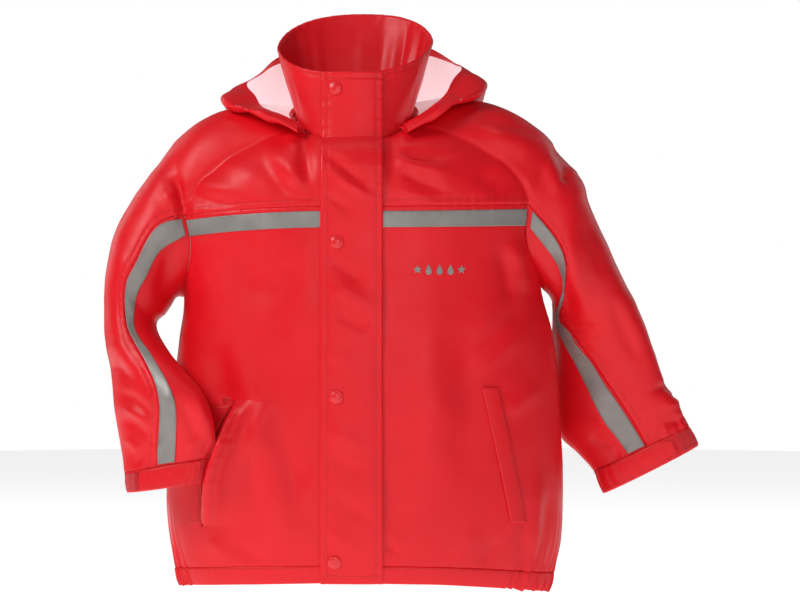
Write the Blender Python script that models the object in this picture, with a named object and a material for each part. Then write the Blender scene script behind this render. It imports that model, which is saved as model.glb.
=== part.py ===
"""Kids rain jacket, filled out and open: closed thin-wall solids, one for each sewn piece.

World axes in metres, +Z up, the front faces -Y. The origin is the middle of the neck between the
shoulders, where the jacket is held up. "Right" and "left" are the wearer's: right is at -X.
All sizes below are in millimetres and are scaled once, when a mesh is written.
"""

import math

import bmesh
import bpy
from mathutils import Vector

MM = 0.001
RIGHT = -1
LEFT = 1
SIDE_NAME = {RIGHT: "right", LEFT: "left"}

CLOTH = 1.5
DOUBLE_CLOTH = 2.4
SEAM_GAP = 0.3
LAY_GAP = 0.5
CENTRE_X = -8.0
ZIP_HALF = 8.0
TAPE_WIDTH = 15.5

# ---------------------------------------------------------------- tables of the form

# Body rings, hem to yoke seam: share of the height, half-widths, front and back depth.
BODY_COLUMNS = ("rise", "right", "left", "front", "back")
BODY_RINGS = [
    (0.00, 172, 192, 80, 84),
    (0.05, 177, 199, 86, 89),
    (0.13, 183, 207, 92, 93),
    (0.24, 187, 209, 95, 95),
    (0.42, 184, 207, 96, 96),
    (0.56, 180, 204, 95, 96),
    (0.68, 174, 197, 94, 95),
    (0.79, 169, 186, 92, 94),
    (0.90, 178, 190, 90, 92),
    (1.00, 189, 197, 88, 90),
]
BODY_POWER = 2.3
ARMPIT_RISE = 0.79
ARMHOLE_ANGLE = 58.5

# Heights of the hem's lower edge and of the yoke seam at the front middle, side and back middle.
HEM_Z = {RIGHT: (-479.0, -489.0, -490.0), LEFT: (-479.0, -495.0, -490.0)}
YOKE_Z = {RIGHT: (-114.8, -126.0, -118.0), LEFT: (-114.8, -110.5, -118.0)}

NECK_HALF = 56.0
NECK_FRONT = 66.0
NECK_BACK = 46.0
NECK_POWER = 2.6
NECK_Z = (-47.0, -24.0, 2.0)
RIM_HALF = 78.0
RIM_DEPTH = 64.0
RIM_POWER = 2.4
RIM_Z = (16.6, 52.0, 88.8)
RIM_TILT = 3.0

# Shoulder: top of the armhole, how far the shoulder runs on, and its rise beside the neck.
SHOULDER = {
    RIGHT: {"x": -187.0, "z": -47.0, "reach": 66.0, "lift": 14.0},
    LEFT: {"x": 191.0, "z": -47.0, "reach": 68.0, "lift": 31.0},
}
ARMHOLE_DEPTH = 51.0

# Sleeve rings, armhole to wrist. out/in: upper outer and lower inner edge (x, y, z);
# depth: half the front-to-back size; seam: angle of the front sleeve seam from the outer edge.
SLEEVE_RINGS = {
    RIGHT: [
        ((-211, -2, -84), (-185, -4, -203), 56, 81),
        ((-243, -6, -132), (-190, -8, -211), 57, 85),
        ((-254, -10, -178), (-195, -14, -219), 53, 81),
        ((-255, -16, -228), (-203, -28, -231), 52, 95),
        ((-247, -30, -272), (-186, -62, -257), 44, 106),
        ((-241, -52, -305), (-148, -98, -298), 34, 93),
        ((-234, -62, -345), (-139, -97, -335), 25, 82),
        ((-229, -70, -371), (-141, -89, -355), 20, 78),
        ((-226, -74, -391), (-146, -88, -379), 19, 78),
    ],
    LEFT: [
        ((214, 2, -79), (189, 6, -203), 55, 105),
        ((234, 4, -127), (192, 16, -213), 54, 130),
        ((252, 5, -166), (193, 30, -226), 50, 148),
        ((272, 6, -208), (193, 43, -250), 44, 122),
        ((291, 8, -254), (195, 47, -292), 34, 98),
        ((306, 10, -292), (199, 47, -338), 26, 82),
        ((320, 10, -315), (220, 40, -361), 20, 84),
        ((328, 10, -331), (234, 34, -378), 17, 85),
        ((338, 10, -351), (244, 30, -401), 16, 85),
    ],
}
SLEEVE_POWER = 2.1
CUFF_START = 8

# Hood, hanging open: for each angle round the neck, the rim and the lowest outer line.
# out: distance from the centre line; z_right, z_left: height on either side.
HOOD_COLUMNS = ("angle", "rim_out", "rim_y", "rim_zr", "rim_zl", "low_out", "low_y", "low_zr", "low_zl")
HOOD_ROWS = [
    (40, 47, -62, -36, -36, 52, -70, -43, -43),
    (55, 71, -52, -24, -21, 74, -66, -33, -32),
    (70, 88, -34, -17, -6, 100, -58, -26, -19),
    (85, 98, -10, -3, 12, 124, -32, -18, -7),
    (100, 108, 14, 12, 28, 133, 4, -10, 3),
    (120, 98, 48, 24, 38, 124, 60, -26, -20),
    (140, 80, 82, 47, 55, 98, 106, -80, -78),
    (160, 46, 98, 60, 64, 54, 126, -128, -128),
    (180, 0, 103, 64, 64, 0, 130, -142, -142),
]
HOOD_SHARES = [0.0, 0.28, 0.52, 0.64, 0.82, 1.0]
HOOD_REST = 0.42
HOOD_CLOTH = 1.2
# Angles round the neck that belong to the places 0, 1, 2 and 3 along the yoke's outer line.
NECK_TURNS = [4.0, 52.0, 128.0, 180.0]

# Storm flap: place up the front (0 hem, 1 yoke seam, 2 neck seam, 3 collar rim), how far its
# outer face stands off the centre front, and how far its long edges fall back.
FLAP_COLUMNS = ("place", "off", "fall")
FLAP_ROWS = [
    (0.00, 3.6, 1.2),
    (0.95, 3.6, 1.2),
    (1.28, 5.0, 1.8),
    (1.54, 6.2, 2.2),
    (1.78, 6.6, 3.0),
    (2.00, 5.6, 4.2),
    (2.50, 4.4, 3.8),
    (3.00, 3.8, 2.6),
]
FLAP_X = (-38.6, 21.7)
FLAP_THICK = 1.8
SNAP_PLACES = [(-25.0, 0.5), (-23.0, -148.5), (-23.0, -298.0), (-25.0, -457.0)]
SNAP_RADIUS = 6.5
SNAP_HEIGHT = 2.6

# Pocket slit on the right front: rise, angle of the front lip, width of the opening in degrees.
SLIT_COLUMNS = ("rise", "angle", "open")
SLIT_ROWS = [
    (0.000, 46.0, 5.0),
    (0.110, 48.0, 5.0),
    (0.163, 49.5, 0.5),
    (0.224, 46.1, 2.6),
    (0.300, 43.1, 5.0),
    (0.362, 40.2, 6.0),
    (0.432, 37.8, 3.5),
    (0.493, 36.1, 0.5),
    (0.560, 36.0, 5.0),
    (1.000, 31.0, 6.0),
]
SLIT_LOW = 0.163
SLIT_HIGH = 0.493
LIP_LIFT = 29.0
LIP_REACH = 26.0
LIP_SPREAD = 0.25

LEFT_WELT = {"low": 0.175, "high": 0.525, "low_x": 145.0, "high_x": 117.0, "width": 16.0}

COLOURS = {
    "red": (0.78, 0.018, 0.024, 1.0),
    "bright_red": (0.80, 0.024, 0.030, 1.0),
    "dark_red": (0.60, 0.010, 0.014, 1.0),
    "silver": (0.30, 0.28, 0.26, 1.0),
}


# ---------------------------------------------------------------- small helpers


def smoothstep(edge0, edge1, x):
    t = min(1.0, max(0.0, (x - edge0) / (edge1 - edge0)))
    return t * t * (3.0 - 2.0 * t)


def curve_value(xs, ys, x):
    """Smooth curve through the table (xs rising), level beyond its ends."""
    if x <= xs[0]:
        return ys[0]
    if x >= xs[-1]:
        return ys[-1]
    k = next(i for i in range(len(xs) - 1) if x <= xs[i + 1])
    slopes = []
    for i in (k, k + 1):
        a, b = max(0, i - 1), min(len(xs) - 1, i + 1)
        slopes.append((ys[b] - ys[a]) * (1.0 / (xs[b] - xs[a])))
    h = xs[k + 1] - xs[k]
    t = (x - xs[k]) / h
    h00 = 2 * t**3 - 3 * t**2 + 1
    h10 = t**3 - 2 * t**2 + t
    h01 = -2 * t**3 + 3 * t**2
    h11 = t**3 - t**2
    return ys[k] * h00 + slopes[0] * (h10 * h) + ys[k + 1] * h01 + slopes[1] * (h11 * h)


def column(rows, names, name):
    return [row[names.index(name)] for row in rows]


def front_side_back(values, c):
    """Value at the front (c = 1), side (c = 0) and back (c = -1), joined smoothly."""
    front, side, back = values
    return side + (front - back) / 2 * c + ((front + back) / 2 - side) * c * c


def power(value, exponent):
    return math.copysign(abs(value) ** exponent, value)


def steps(a, b, n):
    return [a + (b - a) * i / n for i in range(n + 1)]


def between(a, b, lines):
    """a, the grid lines strictly between a and b, then b."""
    tol = 1e-4
    return [a] + [x for x in lines if a + tol < x < b - tol] + [b]


# ---------------------------------------------------------------- the form of the body


def body_point(side, angle, rise):
    """Point of the lower body: angle from the centre front, rise from hem to yoke seam."""
    s, c = math.sin(math.radians(angle)), math.cos(math.radians(angle))
    rises = column(BODY_RINGS, BODY_COLUMNS, "rise")
    half = curve_value(rises, column(BODY_RINGS, BODY_COLUMNS, SIDE_NAME[side]), rise)
    depth_name = "front" if c >= 0 else "back"
    depth = curve_value(rises, column(BODY_RINGS, BODY_COLUMNS, depth_name), rise)
    x = CENTRE_X + side * half * power(s, 2 / BODY_POWER)
    y = -depth * power(c, 2 / BODY_POWER)
    low = front_side_back(HEM_Z[side], c)
    high = front_side_back(YOKE_Z[side], c)
    return Vector((x, y, low + (high - low) * rise))


def body_angle(side, out, rise):
    """Angle at which the front of the body stands the distance out from the centre line."""
    rises = column(BODY_RINGS, BODY_COLUMNS, "rise")
    half = curve_value(rises, column(BODY_RINGS, BODY_COLUMNS, SIDE_NAME[side]), rise)
    return math.degrees(math.asin((out / half) ** (BODY_POWER / 2)))


def edge_angle(rise):
    """Angle of the front panel's outer edge: the side seam, then the armhole."""
    if rise <= ARMPIT_RISE:
        return 90.0
    left = (1.0 - rise) / (1.0 - ARMPIT_RISE)
    return ARMHOLE_ANGLE + (90.0 - ARMHOLE_ANGLE) * left**3


def armhole_point(side, a):
    """Armhole loop: a = 0 at the shoulder, 90 at the front seam, 180 at the armpit, 270 behind."""
    a = a % 360.0
    if 90.0 <= a <= 270.0:
        down = 1.0 - abs(a - 180.0) / 90.0
        rise = 1.0 - (1.0 - ARMPIT_RISE) * down
        angle = edge_angle(rise)
        return body_point(side, angle if a <= 180.0 else 180.0 - angle, rise)
    front = body_point(side, ARMHOLE_ANGLE, 1.0)
    back = body_point(side, 180.0 - ARMHOLE_ANGLE, 1.0)
    s, c = math.sin(math.radians(a)), math.cos(math.radians(a))
    base = front * (0.5 + 0.5 * s) + back * (0.5 - 0.5 * s)
    top = SHOULDER[side]
    lift = power(c, 0.9)
    return Vector((
        base.x + (top["x"] - base.x) * lift,
        -ARMHOLE_DEPTH * power(s, 0.95) if abs(s) < 0.999 else base.y,
        base.z + (top["z"] - base.z) * lift,
    ))


def neck_point(side, angle):
    s, c = math.sin(math.radians(angle)), math.cos(math.radians(angle))
    depth = NECK_FRONT if c >= 0 else NECK_BACK
    return Vector((
        CENTRE_X + side * NECK_HALF * power(s, 2 / NECK_POWER),
        -depth * power(c, 2 / NECK_POWER),
        front_side_back(NECK_Z, c),
    ))


def shoulder_heading(side, a):
    """Unit direction in which the shoulder runs from the armhole towards the neck."""
    c = max(0.0, math.cos(math.radians(a)))
    return Vector((-side * 0.70 * c, 0.0, 1.0 - 0.32 * c)).normalized()


def yoke_edge(side, w):
    """Outer line of the yoke, w from 0 (centre front) to 3 (centre back).

    0 to 1 is the front yoke seam, 1 to 2 the armhole's top, 2 to 3 the back yoke seam.
    """
    if w <= 1.0:
        first = body_angle(side, ZIP_HALF, 1.0)
        return body_point(side, first + (ARMHOLE_ANGLE - first) * w, 1.0)
    if w >= 2.0:
        return body_point(side, 180.0 - ARMHOLE_ANGLE * (3.0 - w), 1.0)
    return armhole_point(side, 90.0 - 180.0 * (w - 1.0))


def neck_angle(w):
    """Angle round the neck that belongs to the place w on the yoke's outer line."""
    first = math.degrees(math.asin((ZIP_HALF / NECK_HALF) ** (NECK_POWER / 2)))
    return curve_value([0.0, 1.0, 2.0, 3.0], [first] + NECK_TURNS[1:], w)


# How far the yoke runs straight on past its outer line, and past the neck seam, before it bows.
YOKE_REACH = 34.0
YOKE_NECK_OUT = 46.0
YOKE_NECK_DEPTH = 20.0
YOKE_NECK_DIP = 14.0


def yoke_point(side, w, r):
    """Yoke between its outer line (r = 0) and the neck (r = 1), bowed over the shoulder."""
    p0 = yoke_edge(side, w)
    angle = neck_angle(w)
    p3 = neck_point(side, angle)
    a = 90.0 - 180.0 * min(1.0, max(0.0, w - 1.0))
    top = SHOULDER[side]
    side_share = max(0.0, math.cos(math.radians(a)))
    p1 = p0 + shoulder_heading(side, a) * (YOKE_REACH + (top["reach"] - YOKE_REACH) * side_share)
    s, c = math.sin(math.radians(angle)), math.cos(math.radians(angle))
    p2 = p3 + Vector((
        side * YOKE_NECK_OUT * s,
        -YOKE_NECK_DEPTH * c,
        top["lift"] * s * s - YOKE_NECK_DIP * c * c,
    ))
    return (
        p0 * (1 - r) ** 3 + p1 * (3 * r * (1 - r) ** 2) + p2 * (3 * r * r * (1 - r)) + p3 * r**3
    )


# ---------------------------------------------------------------- the form of the sleeves


# The sleeve's surface is led this far back over the shoulder, so that it meets the yoke smoothly.
SHOULDER_LEAD = 30.0


def ring_point(side, k, a):
    """Point of sleeve ring k: 0 is the armhole, -1 lies behind it on the shoulder."""
    if k < 0:
        start = armhole_point(side, a)
        over = start + shoulder_heading(side, a) * SHOULDER_LEAD
        under = start * 2 - ring_point(side, 1, a)
        return under.lerp(over, max(0.0, math.cos(math.radians(a))) ** 0.5)
    if k == 0:
        return armhole_point(side, a)
    row = SLEEVE_RINGS[side][k - 1]
    outer, inner = Vector(row[0]), Vector(row[1])
    s, c = math.sin(math.radians(a)), math.cos(math.radians(a))
    centre = (outer + inner) / 2
    across = (outer - inner) / 2
    front = Vector((0.0, -1.0, 0.0))
    return (
        centre
        + across * power(c, 2 / SLEEVE_POWER)
        + front * (row[2] * power(s, 2 / SLEEVE_POWER))
    )


def sleeve_point(side, a, s):
    """Sleeve surface: angle a as for the armhole, s counts the rings from 0 (armhole)."""
    last = len(SLEEVE_RINGS[side])
    s = max(0.0, min(last - 1e-6, s))
    k = int(s)
    t = s - k
    p0, p1, p2 = (ring_point(side, i, a) for i in (k - 1, k, k + 1))
    p3 = ring_point(side, k + 2, a) if k + 2 <= last else p2 * 2 - p1
    return 0.5 * (
        p1 * 2 + (p2 - p0) * t + (p0 * 2 - p1 * 5 + p2 * 4 - p3) * t * t
        + (p1 * 3 - p0 - p2 * 3 + p3) * t**3
    )


def seam_angle(side, s):
    """Angle of the front sleeve seam, which starts at the yoke seam's end."""
    seams = [90.0] + [row[3] for row in SLEEVE_RINGS[side]]
    return curve_value(list(range(len(seams))), seams, s)


BACK_SEAM = 270.0


# ---------------------------------------------------------------- collar, hood and flap


def rim_point(side, angle):
    s, c = math.sin(math.radians(angle)), math.cos(math.radians(angle))
    z = front_side_back(RIM_Z, c) + side * RIM_TILT * s
    return Vector((
        CENTRE_X + 1.0 + side * RIM_HALF * power(s, 2 / RIM_POWER),
        -RIM_DEPTH * power(c, 2 / RIM_POWER),
        z,
    ))


def collar_point(angle, q):
    """Collar: signed angle round the neck (minus on the right), q from neck seam to rim."""
    side = LEFT if angle >= 0 else RIGHT
    low, high = neck_point(side, abs(angle)), rim_point(side, abs(angle))
    return low + (high - low) * q


def hood_point(side, angle, p):
    """Hood: p = 0 at the neck seam, 1 at the rim, round the lowest line in between."""
    angles = column(HOOD_ROWS, HOOD_COLUMNS, "angle")

    def read(name):
        return curve_value(angles, column(HOOD_ROWS, HOOD_COLUMNS, name), angle)

    tail = "zr" if side == RIGHT else "zl"
    rim = Vector((CENTRE_X + side * read("rim_out"), read("rim_y"), read("rim_" + tail)))
    low = Vector((CENTRE_X + side * read("low_out"), read("low_y"), read("low_" + tail)))
    outward = Vector((side * math.sin(math.radians(angle)), -math.cos(math.radians(angle)), 0.0))
    base = neck_point(side, angle) + outward * 4.5 + Vector((0.0, 0.0, 4.0))
    place = curve_value(NECK_TURNS, [0.0, 1.0, 2.0, 3.0], angle)
    reach = (low - base).length
    full = (yoke_point(side, place, 0.0) - yoke_point(side, place, 1.0)).length
    rest = yoke_point(side, place, 1.0 - min(0.8, HOOD_REST * reach / full))
    turn = min(1.0, reach / 60.0)
    path = [
        base,
        rest + outward * 3.0 * turn + Vector((0.0, 0.0, 5.0)),
        low - outward * 10.0 * turn,
        low + Vector((0.0, 0.0, 7.0 * turn)),
        low.lerp(rim, 0.55) + outward * 4.0 * turn + Vector((0.0, 0.0, 5.0 * turn)),
        rim,
    ]
    return curve_value(HOOD_SHARES, path, p)


def centre_front(x, place):
    """The form beside the centre front, x from it: 0 hem, 1 yoke seam, 2 neck, 3 rim."""
    side = LEFT if x >= 0 else RIGHT
    out = max(abs(x), 0.5)
    if place <= 1.0:
        return body_point(side, body_angle(side, out, place), place)
    turn = math.degrees(math.asin((out / NECK_HALF) ** (NECK_POWER / 2)))
    if place <= 2.0:
        point = yoke_point(side, 0.0, place - 1.0)
    else:
        point = collar_point(side * turn, place - 2.0)
    return Vector((CENTRE_X + side * out, point.y, point.z))


def flap_point(x_share, place):
    """Outer face of the storm flap, x_share from its free to its sewn edge."""
    places = column(FLAP_ROWS, FLAP_COLUMNS, "place")
    off = curve_value(places, column(FLAP_ROWS, FLAP_COLUMNS, "off"), place)
    fall = curve_value(places, column(FLAP_ROWS, FLAP_COLUMNS, "fall"), place)
    base = centre_front(0.0, place)
    x = FLAP_X[0] + (FLAP_X[1] - FLAP_X[0]) * x_share
    return Vector((x, base.y - off + fall * (2 * x_share - 1) ** 2, base.z))


# ---------------------------------------------------------------- solids from sheets


class Sheet:
    """A grid of points on a form, with outward normals, read between its grid lines too."""

    def __init__(self, form, us, vs, flip=False):
        self.us, self.vs = us, vs
        self.points = [[form(u, v) for v in vs] for u in us]
        self.normals = [
            [self.normal(form, i, j, flip) for j in range(len(vs))] for i in range(len(us))
        ]

    def normal(self, form, i, j, flip):
        u, v = self.us[i], self.vs[j]
        du = 0.02 * (self.us[-1] - self.us[0]) / len(self.us)
        dv = 0.02 * (self.vs[-1] - self.vs[0]) / len(self.vs)
        along_u = form(u + du, v) - form(u - du, v)
        along_v = form(u, v + dv) - form(u, v - dv)
        n = along_u.cross(along_v)
        if n.length < 1e-9:
            n = Vector((0.0, -1.0, 0.0))
        n.normalize()
        return -n if flip else n

    def at(self, u, v):
        """Point and normal on the facets themselves, each cell cut from low to high corner."""
        i = max(0, min(len(self.us) - 2, sum(1 for x in self.us if x <= u) - 1))
        j = max(0, min(len(self.vs) - 2, sum(1 for x in self.vs if x <= v) - 1))
        a = (u - self.us[i]) / (self.us[i + 1] - self.us[i])
        b = (v - self.vs[j]) / (self.vs[j + 1] - self.vs[j])

        def mix(table):
            low, high = table[i][j], table[i + 1][j + 1]
            if a >= b:
                middle = table[i + 1][j]
                return low + (middle - low) * a + (high - middle) * b
            middle = table[i][j + 1]
            return low + (middle - low) * b + (high - middle) * a

        return mix(self.points), mix(self.normals).normalized()


def cells(rows, columns, loop=False, skip=None):
    """Corner indices of a grid's facets, optionally closed round, some cells left out."""
    wide = rows if loop else rows - 1
    for i in range(wide):
        for j in range(columns - 1):
            if skip is None or not skip(i, j):
                i2 = (i + 1) % rows
                yield (i, j), (i2, j), (i2, j + 1)
                yield (i, j), (i2, j + 1), (i, j + 1)


def write_wall(name, outer, inner, facets, colour, collection):
    """Close the space between two matching grids into one solid object."""
    bm = bmesh.new()
    made = {}

    def vertex(layer, key, table):
        if (layer, key) not in made:
            i, j = key
            made[(layer, key)] = bm.verts.new(table[i][j] * MM)
        return made[(layer, key)]

    edges = {}
    for facet in facets:
        bm.faces.new([vertex("out", key, outer) for key in facet])
        bm.faces.new([vertex("in", key, inner) for key in reversed(facet)])
        edges.update(dict.fromkeys(zip(facet, facet[1:] + facet[:1])))
    for a, b in edges:
        if (b, a) not in edges:
            bm.faces.new([
                vertex("out", b, outer), vertex("out", a, outer),
                vertex("in", a, inner), vertex("in", b, inner),
            ])
    bmesh.ops.recalc_face_normals(bm, faces=bm.faces)
    bmesh.ops.triangulate(bm, faces=bm.faces)
    return finish_object(name, bm, colour, collection)


def finish_object(name, bm, colour, collection):
    mesh = bpy.data.meshes.new(name)
    bm.to_mesh(mesh)
    bm.free()
    mesh.shade_smooth()
    mesh.set_sharp_from_angle(angle=math.radians(50.0))
    obj = bpy.data.objects.new(name, mesh)
    collection.objects.link(obj)
    obj.data.materials.append(make_material(name, colour))
    return obj


def make_material(name, colour):
    material = bpy.data.materials.new(name + "_material")
    material.use_nodes = True
    shader = material.node_tree.nodes["Principled BSDF"]
    shader.inputs["Base Color"].default_value = COLOURS[colour]
    shader.inputs["Roughness"].default_value = 0.42
    return material


def offset_table(sheet, distance):
    return [
        [p + n * distance for p, n in zip(ps, ns)] for ps, ns in zip(sheet.points, sheet.normals)
    ]


def cloth_wall(name, sheet, colour, collection, thick=CLOTH, out=0.0, loop=False, skip=None):
    """A sheet with its outer face moved out by 'out' and its inner face 'thick' below that."""
    rows, columns = len(sheet.us), len(sheet.vs)
    facets = list(cells(rows, columns, loop, skip))
    outer, inner = offset_table(sheet, out), offset_table(sheet, out - thick)
    return write_wall(name, outer, inner, facets, colour, collection)


def laid_on(name, sheet, us, vs, colour, collection, thick, bend=None, gap=LAY_GAP):
    """A piece that lies on a sheet, from the sheet's own points moved out.

    bend(u, v) may shift the place of each point on the sheet.
    """
    spots = [[bend(u, v) if bend else (u, v) for v in vs] for u in us]
    found = [[sheet.at(*spot) for spot in row] for row in spots]
    outer = [[p + n * (gap + thick) for p, n in row] for row in found]
    inner = [[p + n * gap for p, n in row] for row in found]
    return write_wall(name, outer, inner, list(cells(len(us), len(vs))), colour, collection)


# ---------------------------------------------------------------- the sewn pieces

HEM_RISE = 0.05
STRIPE_LOW = 0.944
STRIPE_HIGH = 0.987
STRIPE_START = 0.62
BODY_ROWS = [
    0.00, HEM_RISE, 0.11, SLIT_LOW, 0.224, 0.30, 0.362, 0.432, SLIT_HIGH, 0.59, 0.69,
    ARMPIT_RISE, 0.82, 0.87, STRIPE_LOW, STRIPE_HIGH, 1.00,
]
SEAM_SHARE = 0.0008
SIDE_GAP_ANGLE = 0.1
FRONT_COLUMNS = 9
SLIT_COLUMN = 4
BACK_COLUMNS = 8


def slit_share(rise):
    """0 outside the pocket opening, 1 in its middle."""
    if not SLIT_LOW < rise < SLIT_HIGH:
        return 0.0
    return math.sin(math.pi * (rise - SLIT_LOW) / (SLIT_HIGH - SLIT_LOW)) ** 0.8


def slit_angles(rise):
    rises = column(SLIT_ROWS, SLIT_COLUMNS, "rise")
    lip = curve_value(rises, column(SLIT_ROWS, SLIT_COLUMNS, "angle"), rise)
    return lip, lip + curve_value(rises, column(SLIT_ROWS, SLIT_COLUMNS, "open"), rise)


def front_angle(side, u, rise):
    """Angle of a lower front's column u, counted from the zip to the panel's outer edge.

    On the right front, SLIT_COLUMN and SLIT_COLUMN + 1 are the two sides of the pocket opening.
    """
    first = body_angle(side, ZIP_HALF + SEAM_GAP, rise)
    last = edge_angle(rise) - SIDE_GAP_ANGLE
    if side == LEFT:
        return first + (last - first) * u / FRONT_COLUMNS
    lip, back = slit_angles(rise)
    if u <= SLIT_COLUMN:
        return first + (lip - first) * u / SLIT_COLUMN
    if u < SLIT_COLUMN + 1:
        return lip + (back - lip) * (u - SLIT_COLUMN)
    return back + (last - back) * (u - SLIT_COLUMN - 1) / (FRONT_COLUMNS - SLIT_COLUMN - 1)


def front_form(side):
    """Form of a lower front; the cloth before the right pocket's opening is a rolled lip."""

    def form(u, rise):
        point = body_point(side, front_angle(side, u, rise), rise)
        if side == RIGHT and u <= SLIT_COLUMN + 0.5:
            edge = body_point(side, front_angle(side, SLIT_COLUMN, rise), rise)
            away = abs(point.x - edge.x)
            lift = LIP_LIFT * slit_share(rise) * math.exp(-((away / LIP_REACH) ** 2))
            point = point + Vector((-LIP_SPREAD * lift, -lift, 0.0))
        return point

    return form


def back_form(u, rise):
    """Form of the back: u from -1 (right edge) over 0 (middle) to 1 (left edge)."""
    side = LEFT if u >= 0 else RIGHT
    return body_point(side, 180.0 - (edge_angle(rise) - SIDE_GAP_ANGLE) * abs(u), rise)


def body_sheets():
    """Lower fronts and back, from the hem casing's top to the yoke seam."""
    upper_rows = BODY_ROWS[1:-1] + [1.0 - SEAM_SHARE]
    columns = list(range(FRONT_COLUMNS + 1))
    sheets = {
        side: Sheet(front_form(side), columns, upper_rows, flip=side == RIGHT)
        for side in (RIGHT, LEFT)
    }
    sheets["back"] = Sheet(back_form, steps(-1.0, 1.0, 2 * BACK_COLUMNS), upper_rows, flip=True)
    return sheets


def make_body(sheets, collection):
    """Lower fronts, back, and the doubled hem casing along each of them."""
    columns = list(range(FRONT_COLUMNS + 1))
    hem_rows = [0.0, HEM_RISE / 2, HEM_RISE - SEAM_SHARE]
    rows = sheets[RIGHT].vs
    first, last = rows.index(SLIT_LOW), rows.index(SLIT_HIGH)

    def opening(i, j):
        return i == SLIT_COLUMN and first <= j < last

    for side in (RIGHT, LEFT):
        skip = opening if side == RIGHT else None
        cloth_wall("front_" + SIDE_NAME[side], sheets[side], "red", collection, skip=skip)
        hem = Sheet(front_form(side), columns, hem_rows, flip=side == RIGHT)
        cloth_wall("hem_front_" + SIDE_NAME[side], hem, "red", collection, thick=DOUBLE_CLOTH)
    cloth_wall("back", sheets["back"], "red", collection)
    hem = Sheet(back_form, sheets["back"].us, hem_rows, flip=True)
    cloth_wall("hem_back", hem, "red", collection, thick=DOUBLE_CLOTH)


def make_chest_stripes(fronts, collection):
    """Reflective tape just under the yoke seam, from the zip edge to the armhole."""
    for side in (RIGHT, LEFT):
        sheet = fronts[side]
        us = between(STRIPE_START, FRONT_COLUMNS - 0.02, sheet.us)
        laid_on(
            "chest_stripe_" + SIDE_NAME[side], sheet, us, [STRIPE_LOW, STRIPE_HIGH],
            "silver", collection, thick=0.6,
        )


def make_pockets(fronts, collection):
    """Welts on both fronts, and the facing that shows inside the right one's opening."""
    right = fronts[RIGHT]
    rows = between(SLIT_LOW + 0.006, SLIT_HIGH - 0.012, right.vs)
    us = [SLIT_COLUMN + 1.02, SLIT_COLUMN + 2.0]

    def beside_opening(u, rise):
        lip, back = slit_angles(rise)
        wide = TAPE_WIDTH / (math.radians(edge_angle(rise) - back) * 120.0)
        rest = FRONT_COLUMNS - SLIT_COLUMN - 1
        return SLIT_COLUMN + 1.02 + (u - us[0]) / (us[1] - us[0]) * wide * rest, rise

    laid_on("pocket_welt_right", right, us, rows, "red", collection, 1.4, beside_opening, gap=0.6)

    def facing_form(u, rise):
        lip, back = slit_angles(rise)
        angle = lip - 5.0 + (back - lip + 8.0) * u
        point = body_point(RIGHT, angle, rise)
        return Vector((point.x, point.y + 3.0, point.z))

    facing_rows = [SLIT_LOW + 0.01] + rows[1:-1] + [SLIT_HIGH - 0.02]
    facing = Sheet(facing_form, steps(0.0, 1.0, 3), facing_rows, flip=True)
    cloth_wall("pocket_facing_right", facing, "dark_red", collection, thick=1.2)

    left = fronts[LEFT]
    rows = between(LEFT_WELT["low"], LEFT_WELT["high"], left.vs)

    def along_welt(share, rise):
        t = (rise - LEFT_WELT["low"]) / (LEFT_WELT["high"] - LEFT_WELT["low"])
        out = LEFT_WELT["low_x"] + (LEFT_WELT["high_x"] - LEFT_WELT["low_x"]) * t - CENTRE_X
        out += LEFT_WELT["width"] * share
        first = body_angle(LEFT, ZIP_HALF + SEAM_GAP, rise)
        last = front_angle(LEFT, FRONT_COLUMNS, rise)
        return (body_angle(LEFT, out, rise) - first) / (last - first) * FRONT_COLUMNS, rise

    laid_on(
        "pocket_welt_left", left, steps(0.0, 1.0, 3), rows, "red", collection, 1.4, along_welt,
        gap=0.9,
    )


YOKE_SIDE = 8
YOKE_ROWS = [0.0, 0.22, 0.46, 0.72, 0.992]
SLEEVE_STEPS = [0.5, 1.0, 1.5, 2.0, 2.6, 3.2, 3.7, 4.2, 4.7, 5.2, 6.0, 7.0, CUFF_START - 0.02]
STRIPE_SHARES = (0.01, 0.112)
ARMHOLE_GAP = 0.45


def upper_form(side):
    """Yoke and outer sleeve in one: w across (front seam, over the top, back seam), s along.

    s below 0 lies on the yoke (-1 at the neck), s above 0 on the sleeve.
    """

    def form(w, s):
        if s <= 0.0:
            return yoke_point(side, w, -s)
        if not 0.99 <= w <= 2.01:
            return yoke_point(side, w, 0.0) * 2 - yoke_point(side, w, s)
        front = seam_angle(side, s) - 0.35
        back = BACK_SEAM - 360.0 + 0.35
        return sleeve_point(side, front + (back - front) * (w - 1.0), s)

    return form


def yoke_places(side):
    """Places along the yoke's outer line: over the columns of the panels that it is sewn to."""
    first = body_angle(side, ZIP_HALF, 1.0)
    front = [
        (front_angle(side, u, 1.0) - first) / (ARMHOLE_ANGLE - first)
        for u in range(FRONT_COLUMNS)
    ]
    last = edge_angle(1.0) - SIDE_GAP_ANGLE
    back = [3.0 - last / ARMHOLE_ANGLE * k / BACK_COLUMNS for k in range(BACK_COLUMNS)]
    back[0] = 3.0 - 0.003
    return front + steps(1.0, 2.0, YOKE_SIDE) + back[::-1]


def make_uppers(collection):
    """Each yoke with its outer sleeve, cut in one piece."""
    rows = [-r for r in reversed(YOKE_ROWS)] + SLEEVE_STEPS
    yoke_rows = len(YOKE_ROWS)

    def off_piece(i, j):
        on_sleeve = j >= yoke_rows - 1
        return on_sleeve and not FRONT_COLUMNS <= i < FRONT_COLUMNS + YOKE_SIDE

    for side in (RIGHT, LEFT):
        sheet = Sheet(upper_form(side), yoke_places(side), rows, flip=side == LEFT)
        cloth_wall("upper_" + SIDE_NAME[side], sheet, "red", collection, skip=off_piece)


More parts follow.
